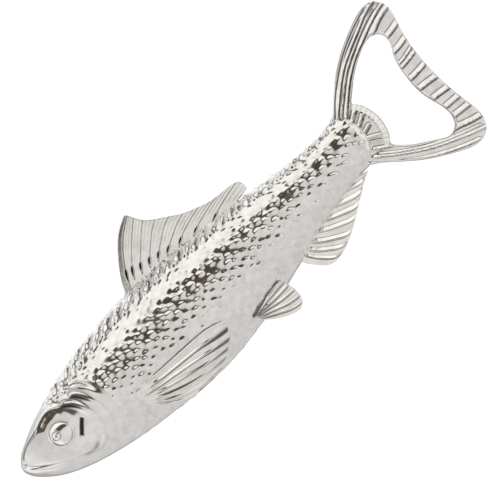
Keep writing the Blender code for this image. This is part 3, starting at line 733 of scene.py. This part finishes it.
def off_belly(x, y):
    free = PELVIC_HEIGHT + PELVIC_SPLAY * (x - PELVIC_ROOT) - PELVIC_CURVE * (y - PELVIC_MIDDLE) ** 2
    z = np.maximum(flank_z(x, y) - 0.05, free)
    slope_y = 2 * PELVIC_CURVE * (y - PELVIC_MIDDLE)
    normal = np.stack([-PELVIC_SPLAY + 0 * x, slope_y, np.ones_like(x)], axis=-1)
    return np.stack([x, y, z], axis=-1), unit(normal)


# --- Tail opener ------------------------------------------------------------------------------
TAIL_HALF = 2.0
TAIL_SETBACK = 0.15      # how far the look's plain face is set back, to make room for the ribs
LIP_CENTRE = (131.0, 0.2)
LIP_RADIUS = 12.9
LIP_BEVEL_WIDTH = 2.1
LIP_EDGE_HALF = 0.9
LIP_CORNER = math.radians(38.5)

# Four stretches round the tail: the root with its lip, the upper lobe, the bar and the lower lobe.
# Each is given along the opening's edge and along the outer edge, which run side by side.
OPENING_EDGE = [
    [(LIP_CENTRE[0] + LIP_RADIUS * math.cos(a), LIP_CENTRE[1] + LIP_RADIUS * math.sin(a))
     for a in np.linspace(-LIP_CORNER, LIP_CORNER, 9)],
    [(142.1, 9.4), (146, 12.6), (151, 15.8), (155.5, 17.8), (158.6, 18.1), (160.9, 16.5)],
    [(161.2, 13.4), (159.2, 9.4), (157.8, 3.5), (157.4, -1.2), (157.8, -5.5), (159.1, -10.5), (159.3, -14.0),
     (158.1, -16.9)],
    [(155.4, -18.2), (151, -16.2), (146, -13.0), (142.1, -9.6)],
]
OUTER_EDGE = [
    [(131.6, -7.3), (131.0, 0.0), (131.6, 7.6)],
    [(134.5, 9.6), (140, 14.7), (148, 20.6), (156, 24.3), (162, 26.0), (165.8, 25.2), (167.9, 21.5)],
    [(167.3, 17.3), (165.6, 11.7), (164.5, 5.0), (164.1, -1.5), (164.5, -9.0), (165.4, -16.0),
     (165.6, -20.0)],
    [(163.9, -23.9), (160, -25.6), (154, -23.7), (146, -19.0), (138.5, -12.9), (134.0, -9.2)],
]
STRETCH_STEPS = (84, 150, 190, 150)

# Ribs of the tail: the line of each rib's crest, how high it stands, how wide its slope is on the
# dorsal side, and how deep the groove under it is and how much painted shade it holds.
TAIL_RIBS = [
    ([(132.6, 6.8), (134.6, 8.9), (138, 12.4), (142, 15.6), (146, 18.4), (150, 20.8), (154, 22.6),
      (158, 24.2), (162, 25.3)], 0.22, 0.5, 1.3),
    ([(133.8, 6.6), (136.4, 9.0), (140, 12.2), (144, 15.3), (147, 17.3), (150, 18.8), (154, 20.6),
      (158, 22.3), (162, 24.0), (166, 25.0)], 0.40, 0.75, 1.35),
    ([(134.8, 6.2), (137.6, 8.6), (140, 10.6), (144, 13.9), (148, 16.6), (152, 18.6), (156, 20.4),
      (160, 22.0), (164, 23.2)], 0.24, 0.5, 1.3),
    ([(135.0, 4.6), (137.8, 7.0), (141, 9.9), (144, 12.4), (148, 15.2), (151, 16.9), (155, 18.5),
      (158, 19.7), (162, 21.2), (167.2, 22.6)], 0.42, 0.8, 1.3),
    ([(139.5, 7.4), (142.2, 9.9), (145, 12.2)], 0.2, 0.6, 0.6),
    ([(157.5, 17.9), (159.5, 18.2), (162, 19.3), (164, 20.0), (167.6, 20.8)], 0.55, 1.35, 1.0),
    ([(161.2, 14.6), (163, 14.7), (166.9, 15.5)], 0.60, 1.55, 0.9),
    ([(159.6, 10.0), (162, 10.1), (165.6, 10.7)], 0.60, 1.5, 0.9),
    ([(158.4, 6.7), (160, 6.8), (165.0, 7.9)], 0.34, 0.8, 1.0),
    ([(157.9, 5.4), (160, 5.5), (165.0, 6.2)], 0.40, 0.95, 1.0),
    ([(157.4, 1.1), (159, 1.1), (164.6, 1.5)], 0.55, 1.4, 1.0),
    ([(157.4, -2.8), (159, -2.9), (164.4, -3.7)], 0.60, 1.55, 1.0),
    ([(157.9, -7.5), (159.6, -7.6), (164.7, -8.3)], 0.60, 1.55, 1.0),
    ([(158.9, -11.7), (160.2, -11.8), (165.1, -12.1)], 0.58, 1.5, 0.8),
    ([(159.0, -15.3), (160, -15.4), (165.6, -16.0)], 0.60, 1.55, 0.9),
    ([(155.6, -18.0), (157.5, -18.2), (160, -19.0), (162, -19.7), (165.6, -20.6)], 0.60, 1.5, 1.0),
    ([(135.4, -7.0), (139.4, -10.2), (143, -12.9), (148, -16.0), (152, -18.0), (156, -19.7), (160, -21.2),
      (163, -22.2)], 0.34, 0.65, 0.2),
    ([(133.6, -6.8), (136.2, -8.7), (140, -11.6), (144, -14.4), (148, -16.9), (152, -18.9), (156, -20.7),
      (160, -22.4), (164, -23.8)], 0.50, 0.9, 0.3),
    ([(131.8, -7.4), (133.4, -9.0), (136, -11.4), (140, -14.3), (144, -17.2), (148, -19.6), (152, -21.7),
      (156, -23.5), (160, -25.0)], 0.46, 0.8, 0.5),
    ([(133.4, -9.8), (136, -12.2), (140, -15.2), (144, -18.0), (148, -20.4), (152, -22.5), (156, -24.2)],
     0.2, 0.5, 0.2),
    ([(136.0, 5.6), (138.0, 6.6), (140.6, 8.4)], 0.26, 0.6, 0.9),
    ([(136.2, 3.6), (138.2, 4.7), (141.6, 7.3)], 0.45, 1.0, 1.25),
    ([(136.4, 1.4), (138.2, 2.1), (141.2, 3.9)], 0.45, 1.0, 1.25),
    ([(136.6, -0.8), (138.2, -0.4), (140.8, 0.4)], 0.42, 1.0, 1.2),
    ([(136.6, -2.0), (138.4, -2.9), (140.8, -4.2)], 0.40, 0.9, 0.4),
    ([(136.4, -3.6), (138.4, -4.8), (140.6, -6.0)], 0.32, 0.8, 0.2),
    ([(135.8, -5.6), (138.0, -7.1), (141.2, -9.0)], 0.42, 1.0, 0.6),
]
FOOT_CUT = 0.12          # depth of the groove under a rib
LIP_RIBS = 22            # fine ribs across the lip's bevel
LIP_RIB_RISE = 0.045
LIP_STEP_RADIUS = 10.2   # where the root's blades end and the bevel band begins
LIP_STEP_CUT = 0.10
UPPER_FALL = 0.17        # how the upper lobe's outer band falls away
UPPER_BAND = 2.0


def tail_loops():
    """The opening's edge and the outer edge, with a point of each for every step round the tail."""
    edges = []
    for parts in (OPENING_EDGE, OUTER_EDGE):
        knots = [p for part in parts for p in part]
        starts = np.cumsum([0] + [len(part) for part in parts])
        closed = np.array(knots[-3:] + knots + knots[:3])
        at = np.concatenate([[0], np.cumsum(np.linalg.norm(np.diff(closed, axis=0), axis=1) ** 0.8)])
        curves = [natural_cubic(list(zip(at, closed[:, k]))) for k in range(2)]
        fine_at = np.linspace(at[3], at[3 + len(knots)], 6000)
        fine = np.stack([curve(fine_at) for curve in curves], axis=1)
        run = run_of(fine)
        # A stretch runs from half way before its first point to half way after its last.
        knot_run = np.interp(at[3 : 4 + len(knots)], fine_at, run)
        bounds = [-(knot_run[-1] - knot_run[-2]) / 2]
        bounds += [(knot_run[k] + knot_run[k - 1]) / 2 for k in starts[1:-1]]
        bounds.append(bounds[0] + run[-1])
        places = [np.linspace(a, b, count(steps) + 1)[:-1]
                  for a, b, steps in zip(bounds, bounds[1:], STRETCH_STEPS)]
        places = np.mod(np.concatenate(places), run[-1])
        edges.append(np.stack([np.interp(places, run, fine[:, k]) for k in range(2)], axis=1))
    return edges


def from_lip(x, y):
    """Distance and angle from the lip's centre."""
    return np.hypot(x - LIP_CENTRE[0], y - LIP_CENTRE[1]), np.arctan2(y - LIP_CENTRE[1], x - LIP_CENTRE[0])


def tail_relief(x, y):
    """Relief of the tail's ribs, and the painted shade in its grooves."""
    height, painted_dark = np.zeros(x.shape), np.zeros(x.shape)
    radius, angle = from_lip(x, y)
    bevel = ease(LIP_STEP_RADIUS + 0.3, LIP_STEP_RADIUS + 0.7, radius) * (radius < LIP_RADIUS + 0.5)
    bevel = bevel * ease(LIP_CORNER + 0.02, LIP_CORNER - 0.04, np.abs(angle))
    for line, rise, slope, depth in TAIL_RIBS:
        signed, along = to_line(x, y, line, 16)
        on_root = line[0][0] < 137 and line[-1][0] < 142
        ends = ease(0.0, 0.06, along) * (ease(1.0, 0.9, along) if on_root else 1.0)
        crest = ease(-0.18, 0.04, signed) * sawtooth(signed, slope)
        foot = bump(signed + 0.20, 0.14 * max(depth, 0.9) ** 2)
        height += ends * rise * crest - ends * FOOT_CUT * depth * foot
        painted_dark = np.maximum(painted_dark, ends * min(depth, 1.0) * foot)
    height, painted_dark = height * (1 - bevel), painted_dark * (1 - bevel)
    height += bevel * LIP_RIB_RISE * np.cos(angle / LIP_CORNER * math.pi * LIP_RIBS / 2)
    step = bump(radius - LIP_STEP_RADIUS - 0.45, 0.22)
    step = step * ease(LIP_CORNER + 0.02, LIP_CORNER - 0.1, np.abs(angle))
    return height - LIP_STEP_CUT * step, painted_dark


def tail_piece():
    inner_edge, outer_edge = tail_loops()
    share = crowded(count(46))[None, :, None]
    grid = inner_edge[:, None] + share * (outer_edge - inner_edge)[:, None]
    x, y = grid[..., 0], grid[..., 1]
    across = run_along(grid, 1)
    outward = across[:, -1:] - across
    radius, angle = from_lip(x, y)
    on_lip = ease(LIP_CORNER + 0.12, LIP_CORNER - 0.04, np.abs(angle)) * (radius < LIP_RADIUS + 0.5)
    drop = (TAIL_HALF - LIP_EDGE_HALF) / LIP_BEVEL_WIDTH
    half = TAIL_HALF - on_lip * drop * np.maximum(radius - (LIP_RADIUS - LIP_BEVEL_WIDTH), 0)
    half -= UPPER_FALL * np.maximum(UPPER_BAND - outward, 0) * ease(134, 139, x) * ease(166, 160, x) * (y > 6)
    half = rounded(half, across, 0.45 + 0.35 * (1 - on_lip))
    half = rounded(half, outward, 0.8)
    relief, painted_dark = tail_relief(x, y)
    near_edge = ease(0.0, 0.7, np.minimum(across, outward))
    # Painted shade in the sunken places and in the grooves under the ribs.
    painted_shade = np.maximum(hollows(relief, (count(3, 1), count(3, 1)), 0.25, wrap=True) * 0.7, painted_dark)
    half = half + relief * (0.35 + 0.65 * near_edge) - TAIL_SETBACK
    points, faces = slab(np.dstack([grid, half]), np.dstack([grid, -half]), wrap=True)
    make_piece("tail_loop", points, faces, np.tile(painted_shade.ravel(), 2), "tail_metal", "tail_opener")


# --- Eyes -------------------------------------------------------------------------------------
EYE_RIM = 4.2
RING_RADIUS, RING_RISE = 3.80, 0.28
GROOVE_RADIUS, GROOVE_CUT = 3.42, 0.12
DOME_RADIUS, DOME_RISE, DOME_BASE = 3.6, 1.30, -0.20
PUPIL = (-1.25, 0.35)
PUPIL_RADIUS, PUPIL_RISE = 1.25, 0.30
PUPIL_RING_CUT, PUPIL_HOLE = 0.16, 0.30


def eye_piece(name, side, replaced):
    """A domed eye with a raised ring round it and a small pupil set towards the snout."""
    rings, sides = count(64), count(144)
    radius = (EYE_RIM * np.linspace(0, 1, rings) ** 0.85)[:, None]
    angle = np.linspace(0, 2 * math.pi, sides, endpoint=False)[None, :]
    u, v = radius * np.cos(angle), radius * np.sin(angle)
    radius = np.broadcast_to(radius, u.shape)
    dome = DOME_RISE * np.sqrt(np.maximum(1 - (radius / DOME_RADIUS) ** 2, 0)) + DOME_BASE
    ring = RING_RISE - 0.26 * ((radius - RING_RADIUS) / 0.36) ** 2
    height = np.where(radius > GROOVE_RADIUS + 0.04, ring, np.maximum(dome, 0.10))
    height -= GROOVE_CUT * bump(radius - GROOVE_RADIUS, 0.14)
    height = np.where(radius > EYE_RIM - 0.05, -0.4, height)
    from_pupil = np.hypot(u - PUPIL[0], v - PUPIL[1])
    height += PUPIL_RISE * np.sqrt(np.maximum(1 - (from_pupil / PUPIL_RADIUS) ** 2, 0))
    height -= PUPIL_RING_CUT * bump(from_pupil - PUPIL_RADIUS - 0.1, 0.16)
    height -= PUPIL_HOLE * bump(from_pupil, 0.34)
    # Painted shade in the groove, at the rim's edge, round the pupil and in its hole.
    painted_shade = np.maximum.reduce([
        0.22 * bump(radius - GROOVE_RADIUS, 0.16),
        0.30 * ease(EYE_RIM - 0.24, EYE_RIM - 0.06, radius),
        0.5 * bump(from_pupil - PUPIL_RADIUS - 0.08, 0.16),
        0.9 * bump(from_pupil, 0.32),
    ])
    x, y = EYE_CENTRE
    lift = float(cheek_lift(np.array([x]), np.array([y]))[0])
    centre = np.array([x, y, float(flank_z(x, y)) + lift])
    outward = unit(flank_normal(np.array(x), np.array(y)) * (1, 0.4, 1))
    aft = unit(np.array([outward[2], 0, -outward[0]]))
    turn = np.stack([aft, np.cross(outward, aft), outward])
    top = centre + np.dstack([u, v, height]) @ turn
    low = centre + np.dstack([u, v, np.full(u.shape, -1.0)]) @ turn
    top, low = (np.swapaxes(a, 0, 1) * (1, 1, side) for a in (top, low))
    points, faces = slab(top, low, wrap=True)
    make_piece(name, points, faces, np.tile(np.swapaxes(painted_shade, 0, 1).ravel(), 2), "eye_metal", replaced)


# --- Node trees -------------------------------------------------------------------------------


def add(tree, kind, inputs=None, **settings):
    """A new node with its settings made, and its inputs set or linked."""
    made = tree.nodes.new("ShaderNode" + kind)
    for key, value in settings.items():
        setattr(made, key, value)
    for key, value in (inputs or {}).items():
        if isinstance(value, bpy.types.NodeSocket):
            tree.links.new(value, made.inputs[key])
        else:
            made.inputs[key].default_value = value
    return made


def maths(tree, operation, one, two=0.0):
    return add(tree, "Math", {0: one, 1: two}, operation=operation).outputs[0]


def ranged(tree, value, low, high, start=0.0, end=1.0):
    limits = {"From Min": low, "From Max": high, "To Min": start, "To Max": end}
    return add(tree, "MapRange", {"Value": value, **limits}).outputs["Result"]


def mixed(tree, factor, one, two):
    return add(tree, "Mix", {0: factor, 6: one, 7: two}, data_type="RGBA").outputs[2]


def ramp(tree, value, stops):
    """A colour read off rising (position, colour) stops."""
    made = add(tree, "ValToRGB", {"Fac": value})
    elements = made.color_ramp.elements
    while len(elements) > 1:
        elements.remove(elements[-1])
    for k, (position, colour) in enumerate(stops):
        stop = elements.new(position) if k else elements[0]
        stop.position, stop.color = position, (*colour, 1)
    return made.outputs["Color"]


def output(tree, kind, surface):
    tree.links.new(surface.outputs[0], tree.nodes[kind + " Output"].inputs["Surface"])


# --- Materials --------------------------------------------------------------------------------
SHADE_AND_FLECK_DARK = (0.045, 0.038, 0.034)     # painted shade of the metal in deep hollows, and the dark that the fine flecks lean towards
WARM = (1.0, 0.965, 0.90)        # how a stain tints it
DEEP_ROUGHNESS = 0.25            # how much duller it is there
RIPPLE_DEPTH = 0.00004


def metal(name):
    """A new bare metal material, with its tree and shader."""
    material = bpy.data.materials.new(name)
    material.use_nodes = True
    shader = material.node_tree.nodes["Principled BSDF"]
    shader.inputs["Metallic"].default_value = 1.0
    return material, material.node_tree, shader


def plated(name, colour, roughness, grain=1.0):
    """Bright nickel plate with painted shade that darkens it in the hollows, where it is also duller, and
    with stains, haze, wipe marks and ripple.
    """
    material, tree, shader = metal(name)
    place = add(tree, "TexCoord").outputs["Object"]
    painted_shade = add(tree, "Attribute", attribute_name="painted_shade").outputs["Fac"]

    def noise(scale, detail, stretch=(1, 1, 1)):
        spread = add(tree, "Mapping", {"Vector": place, "Scale": stretch}).outputs[0]
        return add(tree, "TexNoise", {"Vector": spread, "Scale": scale, "Detail": detail}).outputs["Fac"]

    stain = ranged(tree, noise(55, 4), 0.35, 0.7, 0.0, 0.35)
    tone = mixed(tree, stain, (*colour, 1), (*(c * w for c, w in zip(colour, WARM)), 1))
    tone = mixed(tree, ranged(tree, noise(430, 2), 0.38, 0.66, 0.0, 0.11), tone, (*SHADE_AND_FLECK_DARK, 1))
    # Painted shade: the plate darkens towards the dark colour in the hollows.
    tone = mixed(tree, ranged(tree, painted_shade, 0, 1), tone, (*SHADE_AND_FLECK_DARK, 1))
    tree.links.new(tone, shader.inputs["Base Color"])

    wipes = ranged(tree, noise(900, 5, (0.18, 1.0, 1.0)), 0.35, 0.75, -0.03, 0.07)
    cloud = ranged(tree, noise(140, 3), 0.3, 0.7, -0.02, 0.04)
    dull = ranged(tree, painted_shade, 0, 1, roughness, roughness + DEEP_ROUGHNESS)
    dull = maths(tree, "ADD", maths(tree, "ADD", wipes, cloud), dull)
    tree.links.new(dull, shader.inputs["Roughness"])

    ripple = add(tree, "Bump", {"Strength": 0.35 * grain, "Distance": RIPPLE_DEPTH, "Height": noise(900, 3)})
    tree.links.new(ripple.outputs["Normal"], shader.inputs["Normal"])
    return material


def ground_steel():
    """Ground steel for the dowels, with fine rings round their axes."""
    material, tree, shader = metal("ground_steel")
    place = add(tree, "TexCoord").outputs["Object"]
    rings = add(tree, "TexWave", {"Vector": place, "Scale": 1800, "Distortion": 2.0}, bands_direction="Z")
    tone = mixed(tree, rings.outputs["Fac"], (0.50, 0.51, 0.53, 1), (0.62, 0.63, 0.65, 1))
    tree.links.new(tone, shader.inputs["Base Color"])
    tree.links.new(ranged(tree, rings.outputs["Fac"], 0, 1, 0.28, 0.42), shader.inputs["Roughness"])
    return material


# --- Studio -----------------------------------------------------------------------------------
CAMERA_OVER = (90.4, 1.0)        # the point of the fish at the middle of the view
CAMERA_HEIGHT = 800.0
VIEW_WIDTH = 140.9
FISH_TILT = math.radians(44.4)   # how the fish slants in the view
FLOOR_HALF = 3.0                 # metres
FLOOR_GLOW = 0.60                # so that the floor is nearly white to the camera
# How bright the floor is in reflections, by Y from the belly's side to the back's.
FLOOR_BANDS = [(-100, 0.70), (0, 0.70), (16, 1.20), (44, 1.20), (58, 0.66), (100, 0.66)]
FLOOR_REACH = 100.0
# A painted shadow under the fish makes it dimmer by this much, up to the first of these distances from
# the body's middle line, and no dimmer from the second on.
FLOOR_UNDER = 0.62
UNDER_REACH = (18.0, 30.0)
BODY_MIDDLE = -3.0
# The tent's brightness by angle over the fish: degrees from straight up, positive to the dorsal side.
TENT = [
    (-180, (0.78, 0.77, 0.765)), (-60, (0.70, 0.685, 0.68)), (-20, (0.76, 0.745, 0.74)),
    (-5, (0.80, 0.785, 0.775)), (9, (0.76, 0.745, 0.73)), (12.5, (0.080, 0.062, 0.046)),
    (30, (0.07, 0.055, 0.040)), (34.5, (1.02, 1.01, 0.96)), (55, (1.12, 1.11, 1.07)),
    (69, (1.02, 1.01, 0.97)), (72.5, (0.10, 0.095, 0.085)), (86, (0.12, 0.115, 0.11)),
    (90, (0.80, 0.795, 0.78)), (125, (0.76, 0.755, 0.75)), (180, (0.78, 0.77, 0.765)),
]
TENT_ENDS = (0.63, 0.75)         # how far a direction leans along the fish before it meets the pale ends
END_COLOUR = (0.98, 0.97, 0.95, 1)
BACKDROP = (0.95, 0.95, 0.95, 1)


def camera():
    """The camera, straight over the fish's left flank."""
    lens = bpy.data.cameras.new("camera")
    lens.sensor_width = 36
    lens.lens = lens.sensor_width * CAMERA_HEIGHT / VIEW_WIDTH
    lens.clip_start, lens.clip_end = 0.01, 20
    holder = bpy.data.objects.new("camera", lens)
    holder.location = ORIGIN + Vector((*CAMERA_OVER, CAMERA_HEIGHT)) * MM
    holder.rotation_euler = (0, 0, -FISH_TILT)
    bpy.context.scene.collection.objects.link(holder)
    bpy.context.scene.camera = holder


def pale_floor():
    """A plain pale floor, which glows in bands where the plate reflects it, with a painted shadow under the
    fish in those reflections.
    """
    mesh = bpy.data.meshes.new("floor")
    corners = [(x * FLOOR_HALF, y * FLOOR_HALF, 0) for x, y in ((-1, -1), (1, -1), (1, 1), (-1, 1))]
    mesh.from_pydata(corners, [], [(0, 1, 2, 3)])
    floor = bpy.data.objects.new("floor", mesh)
    bpy.context.scene.collection.objects.link(floor)
    pale = bpy.data.materials.new("pale_floor")
    pale.use_nodes = True
    tree = pale.node_tree
    shader = tree.nodes["Principled BSDF"]
    for key, value in (("Base Color", (0.86, 0.86, 0.86, 1)), ("Roughness", 0.9), ("Specular IOR Level", 0.0),
                       ("Emission Color", (1, 1, 1, 1)), ("Emission Strength", FLOOR_GLOW)):
        shader.inputs[key].default_value = value
    place = add(tree, "NewGeometry").outputs["Position"]
    y = add(tree, "SeparateXYZ", {0: place}).outputs["Y"]
    share = ranged(tree, y, ORIGIN.y - FLOOR_REACH * MM, ORIGIN.y + FLOOR_REACH * MM)
    bands = ramp(tree, share, [(0.5 + at / FLOOR_REACH / 2, (light,) * 3) for at, light in FLOOR_BANDS])
    # Painted shadow in the reflections of the floor under the fish.
    away = maths(tree, "ABSOLUTE", maths(tree, "SUBTRACT", y, ORIGIN.y + BODY_MIDDLE * MM))
    under = ranged(tree, away, UNDER_REACH[0] * MM, UNDER_REACH[1] * MM, FLOOR_UNDER, 1.0)
    reflected = add(tree, "Emission", {"Strength": maths(tree, "MULTIPLY", bands, under)})
    glossy = add(tree, "LightPath").outputs["Is Glossy Ray"]
    either = add(tree, "MixShader", {0: glossy, 1: shader.outputs[0], 2: reflected.outputs[0]})
    output(tree, "Material", either)
    mesh.materials.append(pale)


def light_tent():
    """A soft tent round the fish, with a white panel over its back and a dark gap on either side of it."""
    world = bpy.data.worlds.new("tent")
    bpy.context.scene.world = world
    world.use_nodes = True
    tree = world.node_tree
    split = add(tree, "SeparateXYZ", {0: add(tree, "TexCoord").outputs["Generated"]})
    angle = maths(tree, "ARCTAN2", split.outputs["Y"], split.outputs["Z"])
    share = ranged(tree, angle, -math.pi, math.pi)
    tent = ramp(tree, share, [((degrees + 180) / 360, colour) for degrees, colour in TENT])
    ends = ranged(tree, maths(tree, "ABSOLUTE", split.outputs["X"]), *TENT_ENDS)
    lit = tree.nodes["Background"]
    tree.links.new(mixed(tree, ends, tent, END_COLOUR), lit.inputs["Color"])
    backdrop = add(tree, "Background", {"Color": BACKDROP})
    seen = add(tree, "LightPath").outputs["Is Camera Ray"]
    either = add(tree, "MixShader", {0: seen, 1: lit.outputs[0], 2: backdrop.outputs[0]})
    output(tree, "World", either)


# --- Assembly ---------------------------------------------------------------------------------
METALS = {
    "body_metal": plated("plated_body", (0.89, 0.88, 0.87), 0.11),
    "fin_metal": plated("plated_fins", (0.94, 0.93, 0.915), 0.13),
    "tail_metal": plated("plated_tail", (0.89, 0.875, 0.87), 0.13),
    "eye_metal": plated("plated_eyes", (0.96, 0.95, 0.93), 0.09, grain=0.4),
    "pin_steel": ground_steel(),
}

body_skin("left_flank", 1, "left_shell")
body_skin("right_flank", -1, "right_shell")
seam_fin("dorsal_fin_plate", DORSAL_RAYS, banded=True, groove_depth=0.042,
         hairs=[k + part for k in range(1, 10) for part in (0.34, 0.67)],
         notch=0.17, notch_depth=0.42, rib=0.0, slopes=(1, 1), replaced="dorsal_fin")
seam_fin("anal_fin_plate", ANAL_RAYS, banded=False, groove_depth=0.10, hairs=[],
         notch=0.12, notch_depth=0.0, rib=0.66, slopes=(1.25, 2.3), replaced="anal_fin")
tail_piece()
for side, word in ((1, "left"), (-1, "right")):
    flank_fin("pectoral_leaf_" + word, side, PECTORAL_RAYS, on_flank, lambda t: 0.12 + 0.75 * ease(0, 0.6, t),
              groove_depth=0.40, opening=1, rib=0.70, replaced="pectoral_fin_" + word)
    flank_fin("pelvic_leaf_" + word, side, PELVIC_RAYS, off_belly, lambda t: 1.5 - 0.4 * t,
              groove_depth=0.20, opening=0, rib=0.40, replaced="pelvic_fin_" + word)
    eye_piece("eye_dome_" + word, side, "eye_" + word)

for name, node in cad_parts.items():
    slot = "pin_steel" if "_pin" in name else "tail_metal" if "tail" in name else "fin_metal"
    node.data.materials.clear()
    node.data.materials.append(METALS[slot])

camera()
pale_floor()
light_tent()
bpy.context.scene.view_settings.view_transform = "Standard"
